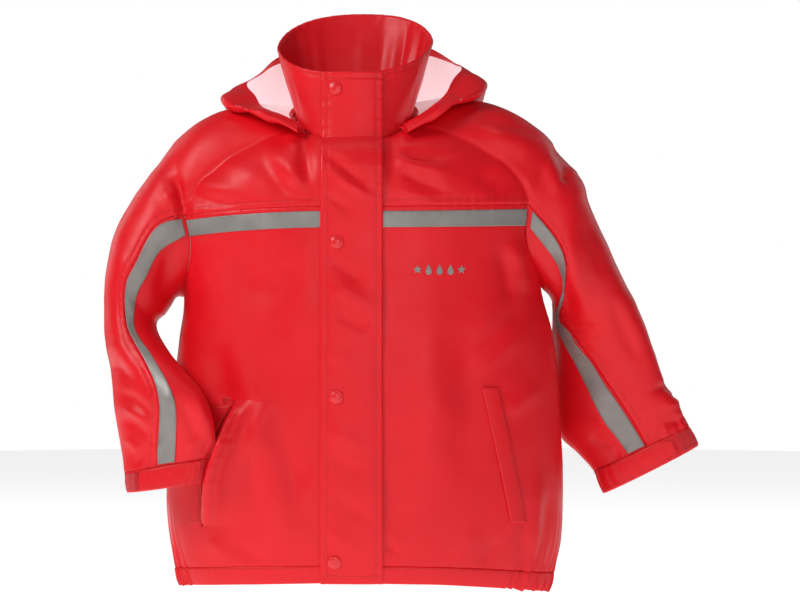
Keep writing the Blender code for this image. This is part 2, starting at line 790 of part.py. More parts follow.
def under_form(side):
    """Under sleeve: u from the front seam (0) under the arm to the back seam (1)."""

    def form(u, s):
        front = seam_angle(side, s) + 0.25
        back = BACK_SEAM - 0.25
        a = front + (back - front) * u
        start = ARMHOLE_GAP / (ring_point(side, 1, a) - ring_point(side, 0, a)).length
        return sleeve_point(side, a, start + s * (1.0 - start / CUFF_START))

    return form


def armhole_rises():
    """Rises of the body's rows along the armhole, yoke seam first."""
    return [1.0] + [rise for rise in reversed(BODY_ROWS[:-1]) if rise >= ARMPIT_RISE]


def under_sheets():
    """Under sleeves, with a column at every row of the body that meets the armhole."""
    half = [(1.0 - rise) / (1.0 - ARMPIT_RISE) / 2 for rise in armhole_rises()]
    columns = half + [1.0 - u for u in reversed(half[:-1])]
    return {
        side: Sheet(under_form(side), columns, [0.0] + SLEEVE_STEPS, flip=side == RIGHT)
        for side in (RIGHT, LEFT)
    }


def match_armholes(bodies, unders):
    """Give both sides of each armhole seam one normal, so that their walls meet in a mitre.

    Near the armpit, where the sleeve turns sharply off the body, each keeps its own.
    """
    count = len(armhole_rises())
    for side in (RIGHT, LEFT):
        front, back, under = bodies[side], bodies["back"], unders[side]
        edge = len(back.us) - 1 if side == LEFT else 0
        for k in range(count):
            row = len(front.vs) - 1 - k
            pairs = [(front, FRONT_COLUMNS, k)]
            pairs.append((back, edge, 2 * (count - 1) - k))
            for sheet, i, u in pairs:
                body, arm = sheet.normals[i][row], under.normals[u][0]
                shared = (body + arm).normalized()
                share = smoothstep(0.0, 0.6, body.dot(arm))
                sheet.normals[i][row] = body.lerp(shared, share).normalized()
                under.normals[u][0] = arm.lerp(shared, share).normalized()


def make_under_sleeves(sheets, collection):
    for side, sheet in sheets.items():
        cloth_wall("sleeve_under_" + SIDE_NAME[side], sheet, "red", collection)


def make_sleeve_stripes(unders, collection):
    """Reflective tape along each front sleeve seam, from the chest tape to the cuff."""
    for side, sheet in unders.items():
        rows = between(0.12, CUFF_START - 0.1, sheet.vs)
        us = between(*STRIPE_SHARES, sheet.us)
        name = "sleeve_stripe_" + SIDE_NAME[side]
        laid_on(name, sheet, us, rows, "silver", collection, thick=0.6, gap=0.8)


def make_cuffs(collection):
    """Sleeve hems, each with a pull tab and the fastener patch it closes on."""
    spans = {
        RIGHT: {"patch": (18, 50), "tab": (52, 140)},
        LEFT: {"patch": (12, 50), "tab": (56, 160)},
    }
    angles = steps(0.0, 360.0, 24)
    for side in (RIGHT, LEFT):
        end = len(SLEEVE_RINGS[side])

        def form(a, s, side=side):
            return sleeve_point(side, a, s)

        name = SIDE_NAME[side]
        rows = [CUFF_START, CUFF_START + 0.5, end - 0.001]
        ring = Sheet(form, angles[:-1], rows, flip=side == RIGHT)
        cloth_wall("cuff_" + name, ring, "red", collection, thick=DOUBLE_CLOTH, loop=True)
        face = Sheet(form, angles, rows, flip=side == RIGHT)
        for piece, thick, inset in (("patch", 0.9, 0.10), ("tab", 1.5, 0.04)):
            low, high = spans[side][piece]
            us = between(low, high, angles)
            colour = "dark_red" if piece == "patch" else "bright_red"
            vs = between(CUFF_START + inset, end - inset, rows)
            laid_on("cuff_" + piece + "_" + name, face, us, vs, colour, collection, thick)


def make_collar(collection):
    """Stand-up collar of double cloth, open at the zip, with a column at each yoke column."""
    right = [-neck_angle(w) for w in yoke_places(RIGHT)]
    left = [neck_angle(w) for w in yoke_places(LEFT)]
    right[-1], left[-1] = -180.0, 180.0
    turns = left + [360.0 + angle for angle in reversed(right[:-1])]

    def form(turn, q):
        return collar_point(turn if turn <= 180.0 else turn - 360.0, q)

    sheet = Sheet(form, turns, [0.012, 0.5, 1.0])
    cloth_wall("collar", sheet, "red", collection, thick=DOUBLE_CLOTH)


def make_hood(collection):
    """The hood's two halves, hanging open behind the neck, joined at the centre back."""
    angles = [41, 48, 55, 64, 73, 82, 91, 100, 110, 120, 132, 144, 156, 168, 179.7]
    rows = [0.0, 0.16, 0.3, 0.42, 0.5, 0.55, 0.6, 0.65, 0.71, 0.8, 0.9, 1.0]
    for side in (RIGHT, LEFT):

        def form(angle, p, side=side):
            return hood_point(side, angle, p)

        sheet = Sheet(form, angles, rows, flip=side == RIGHT)
        name = "hood_" + SIDE_NAME[side]
        cloth_wall(name, sheet, "red", collection, thick=HOOD_CLOTH, out=HOOD_CLOTH)


def make_front_closing(collection):
    """Zip between the fronts, the storm flap over it, and the four snap caps."""
    places = [p for p in BODY_ROWS if p < 1.0] + [1.0, 1.28, 1.54, 1.78, 2.0, 2.35, 2.7, 3.0]
    columns = [-ZIP_HALF + 0.2, ZIP_HALF - 0.2]
    sheet = Sheet(centre_front, columns, places)
    cloth_wall("front_zip", sheet, "dark_red", collection)

    flap = Sheet(flap_point, steps(0.0, 1.0, 4), places)
    cloth_wall("storm_flap", flap, "red", collection, thick=FLAP_THICK)
    for k, (x, z) in enumerate(SNAP_PLACES):
        share = (x - FLAP_X[0]) / (FLAP_X[1] - FLAP_X[0])
        fine = steps(0.0, 3.0, 300)
        place = min(fine, key=lambda p, z=z: abs(flap_point(0.5, p).z - z))
        point, normal = flap.at(share, place)
        add_snap("snap_" + str(k + 1), point, normal, collection)


def add_snap(name, point, normal, collection):
    """A snap cap: a low dome with a rounded edge, turned about its own axis."""
    profile = [(1.0, 0.0), (1.0, 0.35), (0.88, 0.70), (0.52, 0.93)]
    count = 12
    bm = bmesh.new()
    turn = Vector((0.0, 0.0, 1.0)).rotation_difference(normal)
    start = point + normal * 0.5
    rings = []
    for radius, height in profile:
        ring = []
        for k in range(count):
            a = 2 * math.pi * k / count
            local = Vector((
                SNAP_RADIUS * radius * math.cos(a), SNAP_RADIUS * radius * math.sin(a),
                SNAP_HEIGHT * height,
            ))
            ring.append(bm.verts.new((start + turn @ local) * MM))
        rings.append(ring)
    for low, high in zip(rings, rings[1:]):
        for k in range(count):
            k2 = (k + 1) % count
            bm.faces.new((low[k], low[k2], high[k2], high[k]))
    bm.faces.new(list(reversed(rings[0])))
    top = bm.verts.new((start + normal * SNAP_HEIGHT) * MM)
    for k in range(count):
        bm.faces.new((rings[-1][k], rings[-1][(k + 1) % count], top))
    bmesh.ops.recalc_face_normals(bm, faces=bm.faces)
    bmesh.ops.triangulate(bm, faces=bm.faces)
    finish_object(name, bm, "bright_red", collection)


def main():
    for obj in list(bpy.data.objects):
        bpy.data.objects.remove(obj, do_unlink=True)
    collection = bpy.data.collections.new("kids_rain_jacket")
    bpy.context.scene.collection.children.link(collection)
    bodies = body_sheets()
    unders = under_sheets()
    match_armholes(bodies, unders)
    make_body(bodies, collection)
    make_chest_stripes(bodies, collection)
    make_pockets(bodies, collection)
    make_uppers(collection)
    make_under_sleeves(unders, collection)
    make_sleeve_stripes(unders, collection)
    make_cuffs(collection)
    make_collar(collection)
    make_hood(collection)
    make_front_closing(collection)


main()
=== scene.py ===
"""Looks of the kids rain jacket: fine cloth shells with creases, trims, stitches, light, camera.

Every piece is a thin shell on the form of its CAD solid. Sizes are in millimetres and are
scaled once, when a mesh is written. "Right" and "left" are the wearer's: right is at -X.
"""

import math

import bmesh
import bpy
import numpy as np
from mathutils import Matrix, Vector, kdtree, noise


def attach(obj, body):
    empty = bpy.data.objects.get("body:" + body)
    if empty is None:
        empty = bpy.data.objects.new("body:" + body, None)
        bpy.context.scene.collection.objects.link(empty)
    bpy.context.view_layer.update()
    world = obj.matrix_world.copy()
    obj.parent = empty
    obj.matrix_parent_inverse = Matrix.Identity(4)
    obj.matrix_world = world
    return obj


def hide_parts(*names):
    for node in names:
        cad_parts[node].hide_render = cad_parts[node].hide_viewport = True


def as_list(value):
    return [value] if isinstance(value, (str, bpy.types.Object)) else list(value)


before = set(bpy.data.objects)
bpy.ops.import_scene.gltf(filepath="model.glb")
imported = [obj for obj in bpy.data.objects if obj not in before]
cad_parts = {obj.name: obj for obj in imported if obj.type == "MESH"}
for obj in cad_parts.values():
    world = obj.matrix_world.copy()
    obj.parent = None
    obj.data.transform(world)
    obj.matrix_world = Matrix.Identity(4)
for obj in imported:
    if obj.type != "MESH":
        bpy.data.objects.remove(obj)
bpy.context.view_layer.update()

MM = 0.001
RIGHT = -1
LEFT = 1
SIDE_NAME = {RIGHT: "right", LEFT: "left"}

SEAM_GAP = 0.3
CENTRE_X = -8.0
ZIP_HALF = 8.0
TAPE_WIDTH = 15.5

# ---------------------------------------------------------------- tables of the form

# Body rings, hem to yoke seam: share of the height, half-widths, front and back depth.
BODY_COLUMNS = ("rise", "right", "left", "front", "back")
BODY_RINGS = [
    (0.00, 172, 192, 80, 84),
    (0.05, 177, 199, 86, 89),
    (0.13, 183, 207, 92, 93),
    (0.24, 187, 209, 95, 95),
    (0.42, 184, 207, 96, 96),
    (0.56, 180, 204, 95, 96),
    (0.68, 174, 197, 94, 95),
    (0.79, 169, 186, 92, 94),
    (0.90, 178, 190, 90, 92),
    (1.00, 189, 197, 88, 90),
]
BODY_POWER = 2.3
ARMPIT_RISE = 0.79
ARMHOLE_ANGLE = 58.5

# Heights of the hem's lower edge and of the yoke seam at the front middle, side and back middle.
HEM_Z = {RIGHT: (-479.0, -489.0, -490.0), LEFT: (-479.0, -495.0, -490.0)}
YOKE_Z = {RIGHT: (-114.8, -126.0, -118.0), LEFT: (-114.8, -110.5, -118.0)}

NECK_HALF = 56.0
NECK_FRONT = 66.0
NECK_BACK = 46.0
NECK_POWER = 2.6
NECK_Z = (-47.0, -24.0, 2.0)
RIM_HALF = 78.0
RIM_DEPTH = 64.0
RIM_POWER = 2.4
RIM_Z = (16.6, 52.0, 88.8)
RIM_TILT = 3.0

# Shoulder: top of the armhole, how far the shoulder runs on, and its rise beside the neck.
SHOULDER = {
    RIGHT: {"x": -187.0, "z": -47.0, "reach": 66.0, "lift": 14.0},
    LEFT: {"x": 191.0, "z": -47.0, "reach": 68.0, "lift": 31.0},
}
ARMHOLE_DEPTH = 51.0

# Sleeve rings, armhole to wrist. out/in: upper outer and lower inner edge (x, y, z);
# depth: half the front-to-back size; seam: angle of the front sleeve seam from the outer edge.
SLEEVE_RINGS = {
    RIGHT: [
        ((-211, -2, -84), (-185, -4, -203), 56, 81),
        ((-243, -6, -132), (-190, -8, -211), 57, 85),
        ((-254, -10, -178), (-195, -14, -219), 53, 81),
        ((-255, -16, -228), (-203, -28, -231), 52, 95),
        ((-247, -30, -272), (-186, -62, -257), 44, 106),
        ((-241, -52, -305), (-148, -98, -298), 34, 93),
        ((-234, -62, -345), (-139, -97, -335), 25, 82),
        ((-229, -70, -371), (-141, -89, -355), 20, 78),
        ((-226, -74, -391), (-146, -88, -379), 19, 78),
    ],
    LEFT: [
        ((214, 2, -79), (189, 6, -203), 55, 105),
        ((234, 4, -127), (192, 16, -213), 54, 130),
        ((252, 5, -166), (193, 30, -226), 50, 148),
        ((272, 6, -208), (193, 43, -250), 44, 122),
        ((291, 8, -254), (195, 47, -292), 34, 98),
        ((306, 10, -292), (199, 47, -338), 26, 82),
        ((320, 10, -315), (220, 40, -361), 20, 84),
        ((328, 10, -331), (234, 34, -378), 17, 85),
        ((338, 10, -351), (244, 30, -401), 16, 85),
    ],
}
SLEEVE_POWER = 2.1
CUFF_START = 8

# Hood, hanging open: for each angle round the neck, the rim and the lowest outer line.
# out: distance from the centre line; z_right, z_left: height on either side.
HOOD_COLUMNS = ("angle", "rim_out", "rim_y", "rim_zr", "rim_zl", "low_out", "low_y", "low_zr", "low_zl")
HOOD_ROWS = [
    (40, 47, -62, -36, -36, 52, -70, -43, -43),
    (55, 71, -52, -24, -21, 74, -66, -33, -32),
    (70, 88, -34, -17, -6, 100, -58, -26, -19),
    (85, 98, -10, -3, 12, 124, -32, -18, -7),
    (100, 108, 14, 12, 28, 133, 4, -10, 3),
    (120, 98, 48, 24, 38, 124, 60, -26, -20),
    (140, 80, 82, 47, 55, 98, 106, -80, -78),
    (160, 46, 98, 60, 64, 54, 126, -128, -128),
    (180, 0, 103, 64, 64, 0, 130, -142, -142),
]
HOOD_SHARES = [0.0, 0.28, 0.52, 0.64, 0.82, 1.0]
HOOD_REST = 0.42
# Angles round the neck that belong to the places 0, 1, 2 and 3 along the yoke's outer line.
NECK_TURNS = [4.0, 52.0, 128.0, 180.0]

# Storm flap: place up the front (0 hem, 1 yoke seam, 2 neck seam, 3 collar rim), how far its
# outer face stands off the centre front, and how far its long edges fall back.
FLAP_COLUMNS = ("place", "off", "fall")
FLAP_ROWS = [
    (0.00, 3.6, 1.2),
    (0.95, 3.6, 1.2),
    (1.28, 5.0, 1.8),
    (1.54, 6.2, 2.2),
    (1.78, 6.6, 3.0),
    (2.00, 5.6, 4.2),
    (2.50, 4.4, 3.8),
    (3.00, 3.8, 2.6),
]
FLAP_X = (-38.6, 21.7)
SNAP_PLACES = [(-25.0, 0.5), (-23.0, -148.5), (-23.0, -298.0), (-25.0, -457.0)]

# Pocket slit on the right front: rise, angle of the front lip, width of the opening in degrees.
SLIT_COLUMNS = ("rise", "angle", "open")
SLIT_ROWS = [
    (0.000, 46.0, 5.0),
    (0.110, 48.0, 5.0),
    (0.163, 49.5, 0.5),
    (0.224, 46.1, 2.6),
    (0.300, 43.1, 5.0),
    (0.362, 40.2, 6.0),
    (0.432, 37.8, 3.5),
    (0.493, 36.1, 0.5),
    (0.560, 36.0, 5.0),
    (1.000, 31.0, 6.0),
]
SLIT_LOW = 0.163
SLIT_HIGH = 0.493
LIP_LIFT = 29.0
LIP_REACH = 26.0
LIP_SPREAD = 0.25

LEFT_WELT = {"low": 0.175, "high": 0.525, "low_x": 145.0, "high_x": 117.0, "width": 16.0}

# ---------------------------------------------------------------- small helpers


def curve_value(xs, ys, x):
    """Smooth curve through the table (xs rising), level beyond its ends."""
    if x <= xs[0]:
        return ys[0]
    if x >= xs[-1]:
        return ys[-1]
    k = next(i for i in range(len(xs) - 1) if x <= xs[i + 1])
    slopes = []
    for i in (k, k + 1):
        a, b = max(0, i - 1), min(len(xs) - 1, i + 1)
        slopes.append((ys[b] - ys[a]) * (1.0 / (xs[b] - xs[a])))
    h = xs[k + 1] - xs[k]
    t = (x - xs[k]) / h
    h00 = 2 * t**3 - 3 * t**2 + 1
    h10 = t**3 - 2 * t**2 + t
    h01 = -2 * t**3 + 3 * t**2
    h11 = t**3 - t**2
    return ys[k] * h00 + slopes[0] * (h10 * h) + ys[k + 1] * h01 + slopes[1] * (h11 * h)


def column(rows, names, name):
    return [row[names.index(name)] for row in rows]


def front_side_back(values, c):
    """Value at the front (c = 1), side (c = 0) and back (c = -1), joined smoothly."""
    front, side, back = values
    return side + (front - back) / 2 * c + ((front + back) / 2 - side) * c * c


def power(value, exponent):
    return math.copysign(abs(value) ** exponent, value)


def steps(a, b, n):
    return [a + (b - a) * i / n for i in range(n + 1)]


# ---------------------------------------------------------------- the form of the body


def body_point(side, angle, rise):
    """Point of the lower body: angle from the centre front, rise from hem to yoke seam."""
    s, c = math.sin(math.radians(angle)), math.cos(math.radians(angle))
    rises = column(BODY_RINGS, BODY_COLUMNS, "rise")
    half = curve_value(rises, column(BODY_RINGS, BODY_COLUMNS, SIDE_NAME[side]), rise)
    depth_name = "front" if c >= 0 else "back"
    depth = curve_value(rises, column(BODY_RINGS, BODY_COLUMNS, depth_name), rise)
    x = CENTRE_X + side * half * power(s, 2 / BODY_POWER)
    y = -depth * power(c, 2 / BODY_POWER)
    low = front_side_back(HEM_Z[side], c)
    high = front_side_back(YOKE_Z[side], c)
    return Vector((x, y, low + (high - low) * rise))


def body_angle(side, out, rise):
    """Angle at which the front of the body stands the distance out from the centre line."""
    rises = column(BODY_RINGS, BODY_COLUMNS, "rise")
    half = curve_value(rises, column(BODY_RINGS, BODY_COLUMNS, SIDE_NAME[side]), rise)
    return math.degrees(math.asin((out / half) ** (BODY_POWER / 2)))


def edge_angle(rise):
    """Angle of the front panel's outer edge: the side seam, then the armhole."""
    if rise <= ARMPIT_RISE:
        return 90.0
    left = (1.0 - rise) / (1.0 - ARMPIT_RISE)
    return ARMHOLE_ANGLE + (90.0 - ARMHOLE_ANGLE) * left**3


def armhole_point(side, a):
    """Armhole loop: a = 0 at the shoulder, 90 at the front seam, 180 at the armpit, 270 behind."""
    a = a % 360.0
    if 90.0 <= a <= 270.0:
        down = 1.0 - abs(a - 180.0) / 90.0
        rise = 1.0 - (1.0 - ARMPIT_RISE) * down
        angle = edge_angle(rise)
        return body_point(side, angle if a <= 180.0 else 180.0 - angle, rise)
    front = body_point(side, ARMHOLE_ANGLE, 1.0)
    back = body_point(side, 180.0 - ARMHOLE_ANGLE, 1.0)
    s, c = math.sin(math.radians(a)), math.cos(math.radians(a))
    base = front * (0.5 + 0.5 * s) + back * (0.5 - 0.5 * s)
    top = SHOULDER[side]
    lift = power(c, 0.9)
    return Vector((
        base.x + (top["x"] - base.x) * lift,
        -ARMHOLE_DEPTH * power(s, 0.95) if abs(s) < 0.999 else base.y,
        base.z + (top["z"] - base.z) * lift,
    ))


def neck_point(side, angle):
    s, c = math.sin(math.radians(angle)), math.cos(math.radians(angle))
    depth = NECK_FRONT if c >= 0 else NECK_BACK
    return Vector((
        CENTRE_X + side * NECK_HALF * power(s, 2 / NECK_POWER),
        -depth * power(c, 2 / NECK_POWER),
        front_side_back(NECK_Z, c),
    ))


def shoulder_heading(side, a):
    """Unit direction in which the shoulder runs from the armhole towards the neck."""
    c = max(0.0, math.cos(math.radians(a)))
    return Vector((-side * 0.70 * c, 0.0, 1.0 - 0.32 * c)).normalized()


def yoke_edge(side, w):
    """Outer line of the yoke, w from 0 (centre front) to 3 (centre back).

    0 to 1 is the front yoke seam, 1 to 2 the armhole's top, 2 to 3 the back yoke seam.
    """
    if w <= 1.0:
        first = body_angle(side, ZIP_HALF, 1.0)
        return body_point(side, first + (ARMHOLE_ANGLE - first) * w, 1.0)
    if w >= 2.0:
        return body_point(side, 180.0 - ARMHOLE_ANGLE * (3.0 - w), 1.0)
    return armhole_point(side, 90.0 - 180.0 * (w - 1.0))


def neck_angle(w):
    """Angle round the neck that belongs to the place w on the yoke's outer line."""
    first = math.degrees(math.asin((ZIP_HALF / NECK_HALF) ** (NECK_POWER / 2)))
    return curve_value([0.0, 1.0, 2.0, 3.0], [first] + NECK_TURNS[1:], w)


def yoke_point(side, w, r):
    """Yoke between its outer line (r = 0) and the neck (r = 1), bowed over the shoulder."""
    p0 = yoke_edge(side, w)
    angle = neck_angle(w)
    p3 = neck_point(side, angle)
    a = 90.0 - 180.0 * min(1.0, max(0.0, w - 1.0))
    top = SHOULDER[side]
    side_share = max(0.0, math.cos(math.radians(a)))
    p1 = p0 + shoulder_heading(side, a) * (34.0 + (top["reach"] - 34.0) * side_share)
    s, c = math.sin(math.radians(angle)), math.cos(math.radians(angle))
    p2 = p3 + Vector((side * 46.0 * s, -20.0 * c, top["lift"] * s * s - 14.0 * c * c))
    return (
        p0 * (1 - r) ** 3 + p1 * (3 * r * (1 - r) ** 2) + p2 * (3 * r * r * (1 - r)) + p3 * r**3
    )


# ---------------------------------------------------------------- the form of the sleeves


def ring_point(side, k, a):
    """Point of sleeve ring k: 0 is the armhole, -1 lies behind it on the shoulder."""
    if k < 0:
        start = armhole_point(side, a)
        over = start + shoulder_heading(side, a) * 30.0
        under = start * 2 - ring_point(side, 1, a)
        return under.lerp(over, max(0.0, math.cos(math.radians(a))) ** 0.5)
    if k == 0:
        return armhole_point(side, a)
    row = SLEEVE_RINGS[side][k - 1]
    outer, inner = Vector(row[0]), Vector(row[1])
    s, c = math.sin(math.radians(a)), math.cos(math.radians(a))
    centre = (outer + inner) / 2
    across = (outer - inner) / 2
    front = Vector((0.0, -1.0, 0.0))
    return (
        centre
        + across * power(c, 2 / SLEEVE_POWER)
        + front * (row[2] * power(s, 2 / SLEEVE_POWER))
    )


def sleeve_point(side, a, s):
    """Sleeve surface: angle a as for the armhole, s counts the rings from 0 (armhole)."""
    last = len(SLEEVE_RINGS[side])
    s = max(0.0, min(last - 1e-6, s))
    k = int(s)
    t = s - k
    p0, p1, p2 = (ring_point(side, i, a) for i in (k - 1, k, k + 1))
    p3 = ring_point(side, k + 2, a) if k + 2 <= last else p2 * 2 - p1
    return 0.5 * (
        p1 * 2 + (p2 - p0) * t + (p0 * 2 - p1 * 5 + p2 * 4 - p3) * t * t
        + (p1 * 3 - p0 - p2 * 3 + p3) * t**3
    )


def seam_angle(side, s):
    """Angle of the front sleeve seam, which starts at the yoke seam's end."""
    seams = [90.0] + [row[3] for row in SLEEVE_RINGS[side]]
    return curve_value(list(range(len(seams))), seams, s)


BACK_SEAM = 270.0


# ---------------------------------------------------------------- collar, hood and flap


def rim_point(side, angle):
    s, c = math.sin(math.radians(angle)), math.cos(math.radians(angle))
    z = front_side_back(RIM_Z, c) + side * RIM_TILT * s
    return Vector((
        CENTRE_X + 1.0 + side * RIM_HALF * power(s, 2 / RIM_POWER),
        -RIM_DEPTH * power(c, 2 / RIM_POWER),
        z,
    ))


def collar_point(angle, q):
    """Collar: signed angle round the neck (minus on the right), q from neck seam to rim."""
    side = LEFT if angle >= 0 else RIGHT
    low, high = neck_point(side, abs(angle)), rim_point(side, abs(angle))
    return low + (high - low) * q


def hood_point(side, angle, p):
    """Hood: p = 0 at the neck seam, 1 at the rim, round the lowest line in between."""
    angles = column(HOOD_ROWS, HOOD_COLUMNS, "angle")

    def read(name):
        return curve_value(angles, column(HOOD_ROWS, HOOD_COLUMNS, name), angle)

    tail = "zr" if side == RIGHT else "zl"
    rim = Vector((CENTRE_X + side * read("rim_out"), read("rim_y"), read("rim_" + tail)))
    low = Vector((CENTRE_X + side * read("low_out"), read("low_y"), read("low_" + tail)))
    outward = Vector((side * math.sin(math.radians(angle)), -math.cos(math.radians(angle)), 0.0))
    base = neck_point(side, angle) + outward * 4.5 + Vector((0.0, 0.0, 4.0))
    place = curve_value(NECK_TURNS, [0.0, 1.0, 2.0, 3.0], angle)
    reach = (low - base).length
    full = (yoke_point(side, place, 0.0) - yoke_point(side, place, 1.0)).length
    rest = yoke_point(side, place, 1.0 - min(0.8, HOOD_REST * reach / full))
    turn = min(1.0, reach / 60.0)
    path = [
        base,
        rest + outward * 3.0 * turn + Vector((0.0, 0.0, 5.0)),
        low - outward * 10.0 * turn,
        low + Vector((0.0, 0.0, 7.0 * turn)),
        low.lerp(rim, 0.55) + outward * 4.0 * turn + Vector((0.0, 0.0, 5.0 * turn)),
        rim,
    ]
    return curve_value(HOOD_SHARES, path, p)


def centre_front(x, place):
    """The form beside the centre front, x from it: 0 hem, 1 yoke seam, 2 neck, 3 rim."""
    side = LEFT if x >= 0 else RIGHT
    out = max(abs(x), 0.5)
    if place <= 1.0:
        return body_point(side, body_angle(side, out, place), place)
    turn = math.degrees(math.asin((out / NECK_HALF) ** (NECK_POWER / 2)))
    if place <= 2.0:
        point = yoke_point(side, 0.0, place - 1.0)
    else:
        point = collar_point(side * turn, place - 2.0)
    return Vector((CENTRE_X + side * out, point.y, point.z))


def flap_point(x_share, place):
    """Outer face of the storm flap, x_share from its free to its sewn edge."""
    places = column(FLAP_ROWS, FLAP_COLUMNS, "place")
    off = curve_value(places, column(FLAP_ROWS, FLAP_COLUMNS, "off"), place)
    fall = curve_value(places, column(FLAP_ROWS, FLAP_COLUMNS, "fall"), place)
    base = centre_front(0.0, place)
    x = FLAP_X[0] + (FLAP_X[1] - FLAP_X[0]) * x_share
    return Vector((x, base.y - off + fall * (2 * x_share - 1) ** 2, base.z))


HEM_RISE = 0.05
STRIPE_LOW = 0.944
STRIPE_HIGH = 0.987
STRIPE_START = 0.62
FRONT_COLUMNS = 9
SLIT_COLUMN = 4


def slit_share(rise):
    """0 outside the pocket opening, 1 in its middle."""
    if not SLIT_LOW < rise < SLIT_HIGH:
        return 0.0
    return math.sin(math.pi * (rise - SLIT_LOW) / (SLIT_HIGH - SLIT_LOW)) ** 0.8


def slit_angles(rise):
    rises = column(SLIT_ROWS, SLIT_COLUMNS, "rise")
    lip = curve_value(rises, column(SLIT_ROWS, SLIT_COLUMNS, "angle"), rise)
    return lip, lip + curve_value(rises, column(SLIT_ROWS, SLIT_COLUMNS, "open"), rise)


def front_angle(side, u, rise):
    """Angle of a lower front's column u, counted from the zip to the panel's outer edge.

    On the right front, SLIT_COLUMN and SLIT_COLUMN + 1 are the two sides of the pocket opening.
    """
    first = body_angle(side, ZIP_HALF + SEAM_GAP, rise)
    last = edge_angle(rise)
    if side == LEFT:
        return first + (last - first) * u / FRONT_COLUMNS
    lip, back = slit_angles(rise)
    if u <= SLIT_COLUMN:
        return first + (lip - first) * u / SLIT_COLUMN
    if u < SLIT_COLUMN + 1:
        return lip + (back - lip) * (u - SLIT_COLUMN)
    return back + (last - back) * (u - SLIT_COLUMN - 1) / (FRONT_COLUMNS - SLIT_COLUMN - 1)


def front_form(side):
    """Form of a lower front; the cloth before the right pocket's opening is a rolled lip."""

    def form(u, rise):
        point = body_point(side, front_angle(side, u, rise), rise)
        if side == RIGHT and u <= SLIT_COLUMN + 0.5:
            edge = body_point(side, front_angle(side, SLIT_COLUMN, rise), rise)
            away = abs(point.x - edge.x)
            lift = LIP_LIFT * slit_share(rise) * math.exp(-((away / LIP_REACH) ** 2))
            point = point + Vector((-LIP_SPREAD * lift, -lift, 0.0))
        return point

    return form


def back_form(u, rise):
    """Form of the back: u from -1 (right edge) over 0 (middle) to 1 (left edge)."""
    side = LEFT if u >= 0 else RIGHT
    return body_point(side, 180.0 - edge_angle(rise) * abs(u), rise)


STRIPE_SHARES = (0.01, 0.112)


def upper_form(side):
    """Yoke and outer sleeve in one: w across (front seam, over the top, back seam), s along.

    s below 0 lies on the yoke (-1 at the neck), s above 0 on the sleeve.
    """

    def form(w, s):
        if s <= 0.0:
            return yoke_point(side, w, -s)
        if not 0.99 <= w <= 2.01:
            return yoke_point(side, w, 0.0) * 2 - yoke_point(side, w, s)
        front = seam_angle(side, s)
        back = BACK_SEAM - 360.0
        return sleeve_point(side, front + (back - front) * (w - 1.0), s)

    return form


def under_form(side):
    """Under sleeve: u from the front seam (0) under the arm to the back seam (1)."""

    def form(u, s):
        front = seam_angle(side, s)
        return sleeve_point(side, front + (BACK_SEAM - front) * u, s)

    return form


# ---------------------------------------------------------------- creases

# The camera's place; creases below are given as they are seen from there, on the plane y = 0.
VIEW_X = 38.0
VIEW_Z = -205.0
VIEW_DISTANCE = 2200.0

# Each crease: start, middle and end (x, z), half its width, its height (minus is a trough).
FRONT_CREASES = [
    ((-57, -22), (-57, -60), (-52, -97), 6.5, -3.4),
    ((-68, -34), (-70, -62), (-64, -98), 8.0, 2.8),
    ((-92, -45), (-76, -72), (-52, -98), 9.0, 3.0),
    ((-106, -54), (-86, -84), (-66, -106), 9.0, -2.4),
    ((-178, -99), (-150, -105), (-120, -111), 7.0, -3.0),
    ((-170, -86), (-146, -92), (-118, -96), 9.0, 2.2),
    ((-140, -62), (-122, -76), (-100, -86), 12.0, 1.8),
    ((118, -38), (150, -46), (188, -58), 12.0, 4.0),
    ((108, -22), (150, -29), (186, -42), 8.0, -3.2),
    ((33, -55), (62, -60), (94, -58), 4.5, -2.2),
    ((33, -63), (62, -72), (98, -79), 6.0, 2.6),
    ((34, -74), (60, -87), (90, -99), 5.5, -2.2),
    ((30, -92), (54, -101), (78, -107), 6.0, 1.6),
    ((110, -78), (127, -86), (146, -98), 9.0, -2.6),
    ((126, -66), (146, -76), (166, -90), 8.0, 2.0),
    ((28, -22), (31, -60), (28, -104), 6.0, -2.0),
    ((60, -190), (72, -300), (66, -425), 24.0, 3.0),
    ((100, -205), (104, -300), (94, -405), 20.0, -2.4),
    ((150, -142), (158, -172), (161, -204), 10.0, 4.6),
    ((138, -146), (144, -180), (150, -218), 8.0, -2.2),
    ((176, -372), (173, -422), (169, -468), 8.0, 3.0),
    ((188, -390), (185, -430), (180, -468), 6.0, -2.6),
    ((163, -398), (160, -432), (158, -466), 5.0, -1.8),
    ((168, -205), (142, -235), (108, -264), 12.0, -2.6),
    ((164, -226), (134, -257), (98, -286), 12.0, 2.2),
    ((182, -285), (160, -306), (140, -318), 9.0, 1.8),
    ((-120, -300), (-90, -382), (-70, -466), 17.0, 3.8),
    ((-96, -306), (-66, -390), (-53, -470), 13.0, -2.8),
    ((-132, -242), (-106, -300), (-86, -352), 15.0, 2.6),
    ((-152, -232), (-142, -280), (-130, -332), 15.0, -4.0),
    ((-158, -148), (-150, -185), (-138, -225), 14.0, 2.6),
    ((-128, -140), (-112, -178), (-84, -214), 16.0, -2.2),
    ((-62, -130), (-58, -176), (-66, -226), 12.0, 1.8),
    ((22, -447), (30, -455), (41, -461), 3.2, -1.7),
    ((44, -452), (34, -443), (27, -436), 4.0, 1.2),
    ((-152, -441), (-141, -455), (-122, -470), 8.0, 2.2),
    ((-128, -446), (-112, -459), (-92, -472), 7.0, -1.8),
    ((-52, -372), (-58, -418), (-50, -466), 8.0, 1.6),
    ((118, -432), (104, -452), (96, -474), 9.0, 1.8),
    ((142, -446), (128, -458), (122, -474), 6.0, -1.8),
]
